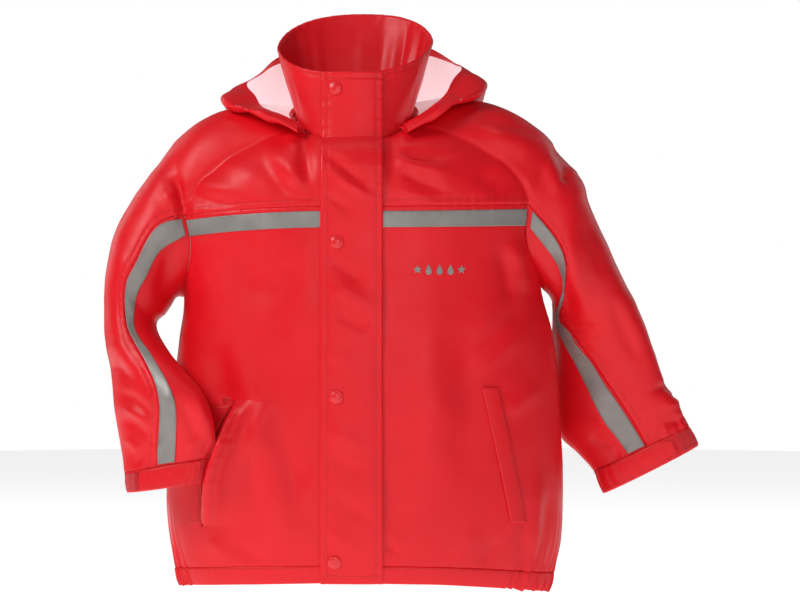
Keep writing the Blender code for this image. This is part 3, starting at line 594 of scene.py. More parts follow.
BACK_CREASES = [
    ((-150, -178), (-112, -215), (-58, -236), 14.0, 3.2),
    ((150, -184), (106, -222), (52, -242), 13.0, 2.8),
    ((-142, -214), (-102, -262), (-70, -322), 16.0, -3.2),
    ((140, -220), (98, -272), (72, -332), 14.0, -3.0),
    ((-60, -296), (-50, -380), (-58, -466), 19.0, 3.6),
    ((40, -288), (53, -375), (45, -466), 17.0, 3.2),
    ((-8, -256), (-13, -350), (-4, -466), 20.0, -3.2),
    ((110, -330), (119, -400), (112, -470), 13.0, 3.0),
    ((84, -352), (88, -410), (82, -468), 9.0, -2.4),
    ((-112, -338), (-121, -400), (-117, -470), 13.0, 3.2),
    ((-86, -360), (-90, -412), (-84, -468), 9.0, -2.2),
    ((-156, -250), (-160, -330), (-150, -420), 12.0, 2.6),
    ((164, -246), (168, -322), (158, -430), 12.0, 2.4),
    ((-126, -62), (-84, -82), (-30, -92), 10.0, 2.6),
    ((112, -60), (70, -84), (26, -94), 10.0, 2.4),
    ((-150, -84), (-110, -104), (-62, -112), 8.0, -2.0),
    ((146, -80), (104, -102), (60, -112), 8.0, -2.0),
    ((-100, -140), (-64, -160), (-30, -166), 12.0, -2.0),
    ((92, -142), (60, -158), (22, -170), 11.0, -2.2),
]
SLEEVE_CREASES = {
    RIGHT: [
        ((-193, -84), (-182, -96), (-178, -128), 4.6, -4.6),
        ((-200, -94), (-191, -108), (-188, -134), 7.0, 3.6),
        ((-196, -70), (-212, -92), (-228, -120), 14.0, 2.6),
        ((-188, -140), (-197, -182), (-206, -206), 8.0, -3.2),
        ((-246, -150), (-240, -178), (-246, -206), 10.0, 2.2),
        ((-248, -212), (-230, -230), (-214, -262), 10.0, -3.2),
        ((-252, -240), (-238, -258), (-222, -286), 8.0, 3.2),
        ((-236, -198), (-217, -214), (-200, -232), 7.0, -2.2),
        ((-252, -268), (-240, -276), (-230, -292), 6.0, -2.4),
        ((-242, -298), (-226, -307), (-210, -323), 5.0, -3.2),
        ((-240, -312), (-225, -320), (-208, -334), 5.0, 2.8),
        ((-240, -326), (-226, -331), (-211, -347), 4.6, -2.6),
        ((-238, -342), (-228, -350), (-216, -362), 5.0, 2.0),
        ((-182, -298), (-171, -330), (-160, -352), 7.0, -3.0),
        ((-168, -288), (-159, -318), (-150, -346), 7.0, 2.6),
        ((-196, -290), (-192, -312), (-188, -338), 6.0, 1.8),
        ((-228, -374), (-222, -362), (-216, -350), 3.6, -1.6),
        ((-206, -370), (-202, -356), (-196, -344), 3.8, 1.5),
        ((-196, -368), (-192, -354), (-184, -342), 3.6, -1.6),
        ((-174, -363), (-169, -351), (-160, -340), 3.8, 1.6),
        ((-160, -361), (-156, -351), (-150, -342), 3.4, -1.4),
    ],
    LEFT: [
        ((188, -46), (200, -62), (209, -88), 7.0, -4.6),
        ((180, -60), (191, -80), (198, -104), 8.0, 3.0),
        ((218, -83), (207, -83), (194, -85), 3.8, -2.6),
        ((208, -66), (220, -84), (228, -106), 9.0, 3.0),
        ((183, -143), (199, -190), (214, -236), 8.0, -4.2),
        ((198, -138), (215, -182), (229, -226), 10.0, 3.6),
        ((197, -226), (218, -233), (239, -227), 5.0, -2.8),
        ((204, -243), (226, -249), (248, -240), 6.0, 2.6),
        ((210, -262), (232, -270), (256, -262), 6.0, -2.0),
        ((230, -100), (244, -130), (257, -166), 13.0, 2.4),
        ((222, -118), (233, -154), (247, -190), 9.0, -2.6),
        ((262, -188), (274, -220), (290, -256), 11.0, 2.6),
        ((250, -200), (263, -238), (281, -272), 9.0, -2.8),
        ((322, -279), (308, -290), (288, -297), 5.0, -3.2),
        ((330, -298), (314, -307), (294, -313), 5.5, 3.0),
        ((336, -316), (319, -325), (298, -327), 5.0, -2.6),
        ((232, -318), (246, -330), (268, -336), 6.0, 2.2),
        ((226, -338), (240, -347), (258, -350), 5.0, -2.0),
        ((251, -377), (254, -364), (252, -350), 3.6, -1.6),
        ((266, -370), (268, -357), (266, -344), 3.8, 1.5),
        ((284, -360), (286, -348), (282, -336), 3.6, -1.6),
        ((304, -349), (304, -338), (298, -328), 3.8, 1.5),
        ((318, -341), (317, -331), (311, -322), 3.4, -1.4),
    ],
}
FLAP_CREASES = [
    ((-36, -58), (-16, -74), (8, -92), 4.6, -2.8),
    ((-34, -74), (-12, -90), (12, -104), 5.0, 2.5),
    ((-38, -100), (-22, -108), (-6, -124), 5.0, -1.7),
    ((-36, -160), (-14, -176), (10, -188), 6.0, -2.6),
    ((-34, -186), (-12, -200), (14, -212), 7.0, 2.8),
    ((-32, -214), (-10, -226), (12, -236), 6.0, -2.3),
    ((-38, -252), (-24, -262), (-4, -268), 7.0, 1.7),
    ((-36, -330), (-14, -344), (12, -352), 8.0, 1.9),
    ((-38, -362), (-18, -372), (4, -376), 7.0, -1.7),
    ((-36, -404), (-12, -414), (14, -432), 8.0, -1.9),
    ((-38, -436), (-20, -444), (2, -458), 6.0, 1.6),
]

# Folds of the hanging hood: angle round the neck at its start and end, half width in degrees,
# height, and from where on the way to the rim it shows.
HOOD_FOLDS = {
    RIGHT: [
        (58, 66, 4.0, 2.4, 0.25), (72, 80, 5.0, -2.6, 0.2), (92, 84, 6.0, 2.6, 0.3),
        (106, 98, 5.0, -2.8, 0.2), (124, 118, 6.0, 3.4, 0.25), (138, 142, 5.5, -3.2, 0.2),
        (152, 150, 6.0, 3.2, 0.3), (168, 162, 5.0, -2.6, 0.2),
    ],
    LEFT: [
        (56, 62, 4.0, 2.2, 0.25), (68, 77, 5.0, -2.4, 0.2), (86, 90, 6.0, 2.8, 0.3),
        (103, 100, 5.0, -2.6, 0.2), (117, 122, 6.0, 3.2, 0.25), (134, 137, 5.5, -3.0, 0.2),
        (149, 153, 6.0, 3.0, 0.3), (166, 170, 5.0, -2.8, 0.2),
    ],
}

# Upright folds of the collar: signed angle, half width in degrees, height, middle of its reach.
COLLAR_FOLDS = [
    (-150, 5.0, -1.4, 0.4), (-128, 6.0, 1.4, 0.5), (-104, 7.0, -1.6, 0.4), (-84, 6.0, 1.2, 0.6),
    (-58, 6.0, -1.2, 0.4), (62, 6.0, -1.4, 0.3), (88, 6.0, 1.3, 0.5), (108, 4.5, -1.8, 0.5),
    (119, 4.0, 1.8, 0.5), (129, 4.0, -2.0, 0.4), (139, 4.0, 1.8, 0.5), (149, 4.5, -1.7, 0.4),
    (161, 5.0, 1.3, 0.5), (176, 6.0, -1.0, 0.4),
]


def seen(points):
    """Where points show on the plane y = 0, from the camera's place."""
    scale = VIEW_DISTANCE / (VIEW_DISTANCE + points[..., 1])
    x = VIEW_X + (points[..., 0] - VIEW_X) * scale
    z = VIEW_Z + (points[..., 2] - VIEW_Z) * scale
    return x, z


def soft_step(low, high, values):
    t = np.clip((values - low) / (high - low), 0.0, 1.0)
    return t * t * (3.0 - 2.0 * t)


def bell(away, half):
    """1 at the middle of a crease, fading out over the distance half."""
    return np.exp(-((away / half) ** 2))


def crease_height(points, creases):
    """Height of soft ridges and troughs at the points, each faded out towards its ends."""
    x, z = seen(points)
    total = np.zeros(x.shape)
    for start, middle, end, half, height in creases:
        bend = [2 * m - (a + b) / 2 for a, m, b in zip(start, middle, end)]
        reach = 3.0 * half
        spots = []
        for t in np.linspace(0.0, 1.0, 13):
            spots.append([
                a * (1 - t) ** 2 + c * 2 * t * (1 - t) + b * t * t
                for a, c, b in zip(start, bend, end)
            ])
        spots = np.array(spots)
        low, high = spots.min(0) - reach, spots.max(0) + reach
        near = (x > low[0]) & (x < high[0]) & (z > low[1]) & (z < high[1])
        if not near.any():
            continue
        px, pz = x[near], z[near]
        best = np.full(px.shape, 1e9)
        along = np.zeros(px.shape)
        for k, (a, b) in enumerate(zip(spots, spots[1:])):
            d = b - a
            t = np.clip(((px - a[0]) * d[0] + (pz - a[1]) * d[1]) / d.dot(d), 0.0, 1.0)
            away = np.hypot(px - a[0] - t * d[0], pz - a[1] - t * d[1])
            closer = away < best
            best = np.where(closer, away, best)
            along = np.where(closer, (k + t) / (len(spots) - 1), along)
        fade = soft_step(0.0, 0.35, along) * soft_step(0.0, 0.35, 1.0 - along)
        total[near] += height * (0.15 + 0.85 * fade) * bell(best, half)
    return total


def drift(points, size, seed):
    """Slow unevenness of hand-smoothed cloth, from -1 to 1."""
    flat = points.reshape(-1, 3)
    shift = Vector((seed * 13.7, seed * 5.1, seed * 9.3))
    found = [noise.noise(Vector(p) / size + shift) if p[0] == p[0] else 0.0 for p in flat]
    return np.array(found).reshape(points.shape[:-1])


def ripple(along, seed):
    """Uneven waves about one unit long, from about -1 to 1."""
    return (
        np.sin(6.2 * along + seed) + 0.7 * np.sin(9.7 * along + 2.3 * seed)
        + 0.5 * np.sin(3.9 * along + 4.1 * seed)
    ) / 2.2


def puckers(along, away, pitch, reach, height, seed):
    """Small gathers along a seam, fading out within reach of it."""
    return height * ripple(along / pitch, seed) * np.exp(-((away / reach) ** 2))


def groove(away, half=1.2, depth=0.62):
    """The dent that a row of stitches pulls into the cloth."""
    return -depth * bell(away, half)


# ---------------------------------------------------------------- fine cloth


def grid_lines(low, high, count, exact=()):
    """Even places from low to high, with some put in exactly, and closer lines at both ends."""
    step = (high - low) / count
    lines = list(np.linspace(low, high, count + 1))
    wanted = [low, low + 0.28 * step, high - 0.28 * step, high] + list(exact)
    lines = [x for x in lines if all(abs(x - w) > 0.33 * step for w in wanted)]
    return sorted(set(lines + wanted))


class Cloth:
    """A fine grid of points on a form, with outward normals, read between its lines too."""

    def __init__(self, points, us, vs, flip=False, keep=None):
        self.points = points
        self.us, self.vs = np.array(us, float), np.array(vs, float)
        self.flip = flip
        shape = (len(us) - 1, len(vs) - 1)
        self.keep = np.ones(shape, bool) if keep is None else keep
        self.measure()
        self.along_u = self.run(0)
        self.along_v = self.run(1)
        self.width = float(np.nanmax(self.along_u))
        self.length = float(np.nanmax(self.along_v))
        self.area = float(self.cell_area.sum())

    @classmethod
    def of(cls, form, us, vs, flip=False, skip=None):
        """Cloth on a form; skip(u, v) leaves out the cells round that place."""
        keep = np.ones((len(us) - 1, len(vs) - 1), bool)
        if skip:
            for i in range(len(us) - 1):
                for j in range(len(vs) - 1):
                    middle = (us[i] + us[i + 1]) / 2, (vs[j] + vs[j + 1]) / 2
                    keep[i, j] = not skip(*middle)
        used = np.zeros((len(us), len(vs)), bool)
        for di in (0, 1):
            for dj in (0, 1):
                used[di:di + keep.shape[0], dj:dj + keep.shape[1]] |= keep
        points = np.full((len(us), len(vs), 3), np.nan)
        for i, j in zip(*np.nonzero(used)):
            points[i, j] = form(us[i], vs[j])
        return cls(points, us, vs, flip, keep)

    def measure(self):
        """Normals of the points, from the cells that are kept round each."""
        p = self.points
        cross = np.cross(p[1:, 1:] - p[:-1, :-1], p[:-1, 1:] - p[1:, :-1])
        cross = np.where(self.keep[..., None], cross, 0.0)
        if self.flip:
            cross = -cross
        self.cell_area = np.linalg.norm(cross, axis=-1) / 2
        total = np.zeros(p.shape)
        for di in (0, 1):
            for dj in (0, 1):
                total[di:di + cross.shape[0], dj:dj + cross.shape[1]] += cross
        if np.allclose(p[0], p[-1], equal_nan=True):
            total[0] = total[-1] = total[0] + total[-1]
        size = np.linalg.norm(total, axis=-1, keepdims=True)
        self.normals = total / np.maximum(size, 1e-12)

    def run(self, axis):
        """Length of the cloth from its first line to each point, along one axis."""
        steps = np.nan_to_num(np.linalg.norm(np.diff(self.points, axis=axis), axis=-1))
        start = np.zeros_like(np.take(steps, [0], axis=axis))
        return np.concatenate([start, np.cumsum(steps, axis=axis)], axis=axis)

    def press(self, height):
        """Move the cloth out by the height at each point."""
        self.points = self.points + self.normals * height[..., None]
        self.measure()

    def grid(self):
        return np.meshgrid(self.us, self.vs, indexing="ij")

    def at(self, us, vs):
        """Points and normals at the places, between the grid's lines."""
        us, vs = np.broadcast_arrays(np.asarray(us, float), np.asarray(vs, float))
        i = np.clip(np.searchsorted(self.us, us, side="right") - 1, 0, len(self.us) - 2)
        j = np.clip(np.searchsorted(self.vs, vs, side="right") - 1, 0, len(self.vs) - 2)
        a = ((us - self.us[i]) / (self.us[i + 1] - self.us[i]))[..., None]
        b = ((vs - self.vs[j]) / (self.vs[j + 1] - self.vs[j]))[..., None]

        def mix(table):
            low = table[i, j] * (1 - a) + table[i + 1, j] * a
            high = table[i, j + 1] * (1 - a) + table[i + 1, j + 1] * a
            return low * (1 - b) + high * b

        normals = mix(self.normals)
        return mix(self.points), normals / np.linalg.norm(normals, axis=-1, keepdims=True)

    def edge_distance(self, reach):
        """Distance of each point from the cloth's edge, or reach where it is further."""
        counts = np.zeros(self.points.shape[:2], int)
        for di in (0, 1):
            for dj in (0, 1):
                counts[di:di + self.keep.shape[0], dj:dj + self.keep.shape[1]] += self.keep
        if np.allclose(self.points[0], self.points[-1], equal_nan=True):
            counts[0] = counts[-1] = counts[0] + counts[-1]
        rim = np.argwhere((counts > 0) & (counts < 4))
        tree = kdtree.KDTree(len(rim))
        for k, (i, j) in enumerate(rim):
            tree.insert(self.points[i, j], k)
        tree.balance()
        away = np.full(counts.shape, reach)
        near = np.zeros(counts.shape, bool)
        span = 4
        for i, j in rim:
            near[max(0, i - span):i + span + 1, max(0, j - span):j + span + 1] = True
        for i, j in zip(*np.nonzero(near & (counts > 0))):
            away[i, j] = min(reach, tree.find(self.points[i, j])[2])
        return away


def round_off(away, radius, thick):
    """How far a wall's faces draw together near its edge."""
    inside = np.clip(1.0 - away / radius, 0.0, 1.0)
    return 0.46 * thick * (1.0 - np.sqrt(1.0 - inside**2))


# Inside, the outer cloth shows this far in from a piece's edges, where they are turned in.
TURNED_IN = 7.0


def build_wall(name, cloth, thick, materials, out=0.0, radius=1.6, inner_slot=None):
    """Close a cloth into a thin wall with softly rounded edges.

    inner_slot(u, v) gives the material index of the inner faces away from the edges.
    """
    away = cloth.edge_distance(max(3.0 * radius, TURNED_IN))
    draw = round_off(away, radius, thick)[..., None]
    outer = cloth.points + cloth.normals * (out - draw)
    inner = cloth.points + cloth.normals * (out - thick + draw)
    rows, columns = cloth.points.shape[:2]
    index = np.arange(rows * columns).reshape(rows, columns)
    closed = np.allclose(cloth.points[0], cloth.points[-1], equal_nan=True)
    if closed:
        index[-1] = index[0]
    i, j = np.nonzero(cloth.keep)
    quads = np.stack([index[i, j], index[i + 1, j], index[i + 1, j + 1], index[i, j + 1]], -1)
    if cloth.flip:
        quads = quads[:, ::-1]
    shift = rows * columns
    edges = np.concatenate([quads[:, [k, (k + 1) % 4]] for k in range(4)])
    keys = edges[:, 0] * (2 * shift) + edges[:, 1]
    back = edges[:, 1] * (2 * shift) + edges[:, 0]
    rim = edges[~np.isin(keys, back)]
    side = np.stack([rim[:, 1], rim[:, 0], rim[:, 0] + shift, rim[:, 1] + shift], -1)
    faces = np.concatenate([quads, quads[:, ::-1] + shift, side])
    slots = np.zeros(len(faces), int)
    if inner_slot:
        us = (cloth.us[i] + cloth.us[i + 1]) / 2
        vs = (cloth.vs[j] + cloth.vs[j + 1]) / 2
        turned_in = away[i, j] < TURNED_IN
        slots[len(quads):2 * len(quads)] = np.where(turned_in, 0, inner_slot(us, vs))
    points = np.concatenate([outer.reshape(-1, 3), inner.reshape(-1, 3)])
    return write_mesh(name, points, faces, slots, materials)


def write_mesh(name, points, faces, slots, materials):
    """An object from points in millimetres, with the points that no face uses left out."""
    used = np.unique(faces)
    place = np.zeros(len(points), int)
    place[used] = np.arange(len(used))
    mesh = bpy.data.meshes.new(name)
    mesh.from_pydata((points[used] * MM).tolist(), [], place[faces].tolist())
    for material in materials:
        mesh.materials.append(material)
    mesh.polygons.foreach_set("material_index", np.asarray(slots, np.int32))
    mesh.shade_smooth()
    mesh.update()
    obj = bpy.data.objects.new(name, mesh)
    bpy.context.scene.collection.objects.link(obj)
    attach(obj, "root")
    return obj


def laid_cloth(host, us, vs, gap, bend=None):
    """Cloth that lies on another, gap above it; bend(u, v) shifts the places on the host."""
    u, v = np.meshgrid(us, vs, indexing="ij")
    if bend:
        u, v = bend(u, v)
    points, normals = host.at(u, v)
    return Cloth(points + normals * gap, us, vs, host.flip)


# ---------------------------------------------------------------- stitches


def resample(points, normals, pitch):
    """Centres, headings and normals at even distances along a line on the cloth."""
    steps = np.linalg.norm(np.diff(points, axis=0), axis=1)
    run = np.concatenate([[0.0], np.cumsum(steps)])
    places = np.arange(pitch / 2, run[-1], pitch)

    def read(table, spots):
        return np.stack([np.interp(spots, run, table[:, k]) for k in range(3)], -1)

    centres = read(points, places)
    heading = read(points, places + 0.4) - read(points, places - 0.4)
    heading /= np.maximum(np.linalg.norm(heading, axis=1, keepdims=True), 1e-9)
    up = read(normals, places)
    up /= np.maximum(np.linalg.norm(up, axis=1, keepdims=True), 1e-9)
    return centres, heading, up


STITCH_SIDES = 5
STITCH_RINGS = [(-0.5, 0.30, -0.25), (-0.28, 0.95, 0.05), (0.28, 0.95, 0.05), (0.5, 0.30, -0.25)]


def make_stitches(name, runs, material, pitch=3.3, length=2.5, radius=0.27, lift=0.08):
    """Rows of single stitches, each a short thread that dips into the cloth at both ends."""
    everything, faces, start = [], [], 0
    around = np.linspace(0.0, 2 * np.pi, STITCH_SIDES, endpoint=False)
    for points, normals in runs:
        centres, heading, up = resample(points, normals, pitch)
        if not len(centres):
            continue
        across = np.cross(heading, up)
        rings = []
        for along, share, rise in STITCH_RINGS:
            middle = centres + heading * (length * along) + up * (lift + rise)
            spread = (
                across[:, None] * np.cos(around)[None, :, None]
                + up[:, None] * np.sin(around)[None, :, None]
            )
            rings.append(middle[:, None] + spread * (radius * share))
        block = np.stack(rings, 1)
        count = len(centres)
        everything.append(block.reshape(-1, 3))
        size = len(STITCH_RINGS) * STITCH_SIDES
        base = start + size * np.arange(count)
        for r in range(len(STITCH_RINGS) - 1):
            for k in range(STITCH_SIDES):
                k2 = (k + 1) % STITCH_SIDES
                a, b = r * STITCH_SIDES + k, r * STITCH_SIDES + k2
                faces.append(np.stack(
                    [base + b, base + a, base + a + STITCH_SIDES, base + b + STITCH_SIDES], -1
                ))
        start += size * count
    points = np.concatenate(everything)
    quads = np.concatenate(faces)
    obj = write_mesh(name, points, quads, np.zeros(len(quads), int), [material])
    close_ends(obj)
    return obj


def close_ends(obj):
    """Cap the open ends of every stitch."""
    bm = bmesh.new()
    bm.from_mesh(obj.data)
    bmesh.ops.holes_fill(bm, edges=[e for e in bm.edges if e.is_boundary], sides=STITCH_SIDES)
    bm.to_mesh(obj.data)
    bm.free()
    obj.data.shade_smooth()


def line_along_v(cloth, u, low, high, lift=0.0):
    vs = np.linspace(low, high, 200)
    points, normals = cloth.at(np.full(vs.shape, u) if np.isscalar(u) else u, vs)
    return points + normals * lift, normals


# ---------------------------------------------------------------- materials

RED = (0.780, 0.0060, 0.0150, 1.0)
RED_DEEP = (0.710, 0.0050, 0.0120, 1.0)
RED_DARK = (0.420, 0.0050, 0.0090, 1.0)
# The thread's own red, darkened with painted shade so that rows of stitches read as the dark shade
# lines along the seams.
SHADED_THREAD_RED = (0.520, 0.0080, 0.0140, 1.0)
BACKING = (0.900, 0.800, 0.815, 1.0)
BACKING_DEEP = (0.860, 0.730, 0.755, 1.0)
TAPE_GREY = (0.300, 0.280, 0.262, 1.0)
TAPE_DARK = (0.200, 0.186, 0.174, 1.0)
THREAD_GREY = (0.240, 0.222, 0.208, 1.0)
PRINT_GREY = (0.330, 0.270, 0.260, 1.0)


class Look:
    """A node-based material, built up from its Principled shader."""

    def __init__(self, name, roughness, **constants):
        self.material = bpy.data.materials.new(name)
        self.material.use_nodes = True
        self.tree = self.material.node_tree
        self.shader = self.tree.nodes["Principled BSDF"]
        self.shader.inputs["Roughness"].default_value = roughness
        for key, value in constants.items():
            self.shader.inputs[key.replace("_", " ")].default_value = value
        self.coordinates = self.tree.nodes.new("ShaderNodeTexCoord").outputs["Object"]

    def noise(self, scale, detail=2.0):
        """Noise with features of about 1 / scale metres."""
        node = self.tree.nodes.new("ShaderNodeTexNoise")
        node.inputs["Scale"].default_value = scale
        node.inputs["Detail"].default_value = detail
        self.tree.links.new(self.coordinates, node.inputs["Vector"])
        return node.outputs["Fac"]

    def bands(self, scale, direction):
        node = self.tree.nodes.new("ShaderNodeTexWave")
        node.bands_direction = direction
        node.inputs["Scale"].default_value = scale
        node.inputs["Distortion"].default_value = 0.6
        self.tree.links.new(self.coordinates, node.inputs["Vector"])
        return node.outputs["Fac"]

    def cells(self, scale):
        node = self.tree.nodes.new("ShaderNodeTexVoronoi")
        node.inputs["Scale"].default_value = scale
        self.tree.links.new(self.coordinates, node.inputs["Vector"])
        return node.outputs["Distance"]

    def spread(self, value, low, high, start=0.3, end=0.7):
        node = self.tree.nodes.new("ShaderNodeMapRange")
        for key, number in (("From Min", start), ("From Max", end), ("To Min", low), ("To Max", high)):
            node.inputs[key].default_value = number
        self.tree.links.new(value, node.inputs["Value"])
        return node.outputs["Result"]

    def colour(self, value, first, second):
        """Base colour from first to second, as the value goes from 0.3 to 0.7."""
        node = self.tree.nodes.new("ShaderNodeMix")
        node.data_type = "RGBA"
        node.inputs["A"].default_value = first
        node.inputs["B"].default_value = second
        self.tree.links.new(self.spread(value, 0.0, 1.0), node.inputs["Factor"])
        self.tree.links.new(node.outputs["Result"], self.shader.inputs["Base Color"])

    def roughness(self, value, low, high):
        self.tree.links.new(self.spread(value, low, high), self.shader.inputs["Roughness"])

    def bump(self, value, strength, depth):
        """Relief of the given depth in metres, on top of what is there already."""
        node = self.tree.nodes.new("ShaderNodeBump")
        node.inputs["Strength"].default_value = strength
        node.inputs["Distance"].default_value = depth
        self.tree.links.new(value, node.inputs["Height"])
        normal = self.shader.inputs["Normal"]
        if normal.is_linked:
            self.tree.links.new(normal.links[0].from_socket, node.inputs["Normal"])
        self.tree.links.new(node.outputs["Normal"], normal)


def coated_cloth(name, colour, deep, low=0.36, high=0.47):
    """Smooth polyurethane film on a knit: satin, with a very fine grain."""
    look = Look(name, 0.46, Specular_IOR_Level=0.30)
    look.colour(look.noise(16.0, 3.0), colour, deep)
    look.roughness(look.noise(60.0, 3.0), low, high)
    look.bump(look.noise(260.0, 2.0), 0.20, 0.0004)
    look.bump(look.cells(1500.0), 0.16, 0.0002)
    return look.material


def knit_backing(name, glow):
    """Pale knit; glow is painted light, an emission that stands in for the light that a white cloth
    throws round inside a pouch.
    """
    look = Look(name, 0.85, Sheen_Weight=0.25, Emission_Color=BACKING, Emission_Strength=glow)
    look.colour(look.noise(30.0, 3.0), BACKING, BACKING_DEEP)
    look.roughness(look.noise(300.0), 0.78, 0.92)
    look.bump(look.bands(520.0, "X"), 0.25, 0.0003)
    look.bump(look.bands(430.0, "Z"), 0.20, 0.0003)
    return look.material


def reflective_tape(name):
    look = Look(name, 0.42, Metallic=0.25)
    look.colour(look.noise(26.0, 2.0), TAPE_GREY, TAPE_DARK)
    look.roughness(look.noise(90.0, 2.0), 0.36, 0.50)
    look.bump(look.cells(1900.0), 0.35, 0.0002)
    return look.material


def loop_pile(name):
    look = Look(name, 0.9, Sheen_Weight=0.35, Sheen_Roughness=0.5)
    look.colour(look.noise(900.0, 4.0), RED_DARK, RED_DEEP)
    look.bump(look.noise(1100.0, 4.0), 0.9, 0.0008)
    look.bump(look.cells(700.0), 0.5, 0.0006)
    return look.material


def moulded_cap(name):
    look = Look(name, 0.32, Coat_Weight=0.2, Coat_Roughness=0.2)
    look.colour(look.noise(120.0), RED, RED_DEEP)
    look.roughness(look.noise(400.0), 0.28, 0.38)
    look.bump(look.noise(900.0), 0.08, 0.0002)
    return look.material


def zip_tape(name):
    look = Look(name, 0.7, Sheen_Weight=0.2)
    look.colour(look.bands(300.0, "Z"), RED_DARK, RED_DEEP)
    look.roughness(look.noise(300.0), 0.6, 0.8)
    look.bump(look.bands(700.0, "DIAGONAL"), 0.5, 0.0003)
    return look.material


def thread(name, colour, deep):
    look = Look(name, 0.55, Sheen_Weight=0.2)
    look.colour(look.noise(500.0), colour, deep)
    look.bump(look.bands(1500.0, "DIAGONAL"), 0.5, 0.0002)
    return look.material


def print_ink(name):
    look = Look(name, 0.5)
    look.colour(look.noise(500.0, 3.0), PRINT_GREY, TAPE_DARK)
    look.roughness(look.noise(300.0), 0.42, 0.56)
    look.bump(look.cells(1500.0), 0.15, 0.0002)
    return look.material


CLOTH_LOOK = coated_cloth("coated_cloth", RED, RED_DEEP)
# Painted light: both backings glow, faintly inside the body and strongly (0.36) in the hood, for light
# thrown round inside.
INSIDE_LOOK = knit_backing("knit_backing", 0.04)
GLOWING_LINING_LOOK = knit_backing("hood_backing", 0.36)
# Painted shade: the pocket facing gets the darker RED_DARK in place of the cloth's red, for the shade
# inside the pocket opening.
SHADED_FACING_LOOK = coated_cloth("facing_cloth", RED_DARK, RED_DEEP, 0.45, 0.6)
TAPE_LOOK = reflective_tape("reflective_tape")
PILE_LOOK = loop_pile("loop_pile")
CAP_LOOK = moulded_cap("snap_cap")
ZIP_LOOK = zip_tape("zip_tape")
# The red thread is darker than the cloth: thread colour with painted shade of the stitch lines.
THREAD_LOOK = thread("red_thread", SHADED_THREAD_RED, RED_DARK)
TAPE_THREAD_LOOK = thread("grey_thread", THREAD_GREY, TAPE_DARK)
INK_LOOK = print_ink("grey_print")

RED_SLOT = "coated_red_cloth"
SINGLE = 1.15
DOUBLE = 2.1
BOTH_LOOKS = [CLOTH_LOOK, INSIDE_LOOK]


def backed(us, vs):
    """Material of a single cloth's inner faces: the knit backing all over."""
    return np.ones(len(us), int)


def finish_piece(piece, slot, *nodes):
    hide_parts(*nodes)
    return piece


def declare(piece, cloth, held, rests_on, with_pieces=()):
    """Takes the piece and its cloth but states no flat cut: it only reads rests_on and with_pieces as
    lists.
    """
    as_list(rests_on)
    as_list(with_pieces)


# ---------------------------------------------------------------- body

BODY_HEIGHT = 372.0


def around(points):
    """Degrees round the body from the centre front, 180 at the centre back."""
    x = np.abs(points[..., 0] - CENTRE_X) / 190.0
    return np.degrees(np.arctan2(x, -points[..., 1] / 88.0))


def gathers(cloth, vs):
    """What the elastic in the hem's sides draws together, fading out up the body."""
    turn = around(cloth.points)
    left = cloth.points[..., 0] > CENTRE_X
    start = np.where(left, 47.0, 58.0)
    share = soft_step(0.0, 7.0, turn - start) * (1.0 - soft_step(118.0, 138.0, turn))
    arc = np.where(left, turn, -turn) * 2.4
    up = vs * BODY_HEIGHT
    short = 3.6 * ripple(arc / 9.0, 1.3) * bell(up, 26.0 + 6.0 * ripple(arc / 19.0, 0.4))
    tall = 2.6 * ripple(arc / 17.0, 2.1) * bell(up, 48.0)
    return share * (short + tall)


def body_height(cloth):
    """Creases of the body's front and back, with the cloth's slow unevenness."""
    facing = -cloth.normals[..., 1]
    return (
        soft_step(-0.15, 0.30, facing) * crease_height(cloth.points, FRONT_CREASES)
        + soft_step(-0.15, 0.30, -facing) * crease_height(cloth.points, BACK_CREASES)
        + 1.3 * drift(cloth.points, 70.0, 1.0)
        + 0.45 * drift(cloth.points, 27.0, 2.0)
    )


def seam_waves(cloth):
    """Fine puckers along the side seams and along the yoke seam."""
    top = cloth.along_v[:, -1:] - cloth.along_v
    waves = puckers(cloth.points[..., 0], top, 9.0, 7.0, 0.35, 0.7)
    for away in (cloth.along_u, cloth.along_u[-1:] - cloth.along_u):
        waves = waves + puckers(cloth.points[..., 2], away, 11.0, 6.0, 0.30, 1.9)
    return waves


def make_fronts():
    made = {}
    rows = grid_lines(HEM_RISE, 1.0, 164, exact=(SLIT_LOW, SLIT_HIGH))
    columns = grid_lines(0, FRONT_COLUMNS, 92, exact=(SLIT_COLUMN, SLIT_COLUMN + 1))

    def opening(u, v):
        return SLIT_COLUMN < u < SLIT_COLUMN + 1 and SLIT_LOW < v < SLIT_HIGH

    for side in (RIGHT, LEFT):
        name = "front_" + SIDE_NAME[side]
        skip = opening if side == RIGHT else None
        cloth = Cloth.of(front_form(side), columns, rows, side == RIGHT, skip)
        u, v = cloth.grid()
        height = body_height(cloth) + gathers(cloth, v) + seam_waves(cloth)
        if side == RIGHT:
            lip = int(np.searchsorted(cloth.us, SLIT_COLUMN))
            inside = cloth.along_u[lip:lip + 1] - cloth.along_u
            up_slit = np.clip((v - SLIT_LOW) / (SLIT_HIGH - SLIT_LOW), 0, 1)
            open_share = np.where((v > SLIT_LOW) & (v < SLIT_HIGH) & (u <= SLIT_COLUMN), 1.0, 0.0)
            open_share = open_share * np.sin(np.pi * up_slit) ** 0.4
            shape = groove(inside - 10.0, 2.2, 0.9) + 0.9 * bell(inside - 4.5, 4.0)
            shape = shape - 3.4 * bell(inside - 24.0, 8.0)
            shape = shape + puckers(cloth.points[..., 2], inside - 8.0, 12.0, 9.0, 0.7, 3.1)
            height = height + open_share * shape
        cloth.press(height)
        piece = build_wall(name, cloth, SINGLE, BOTH_LOOKS, inner_slot=backed)
        finish_piece(piece, RED_SLOT, name)
        made[side] = (piece, cloth)
    return made


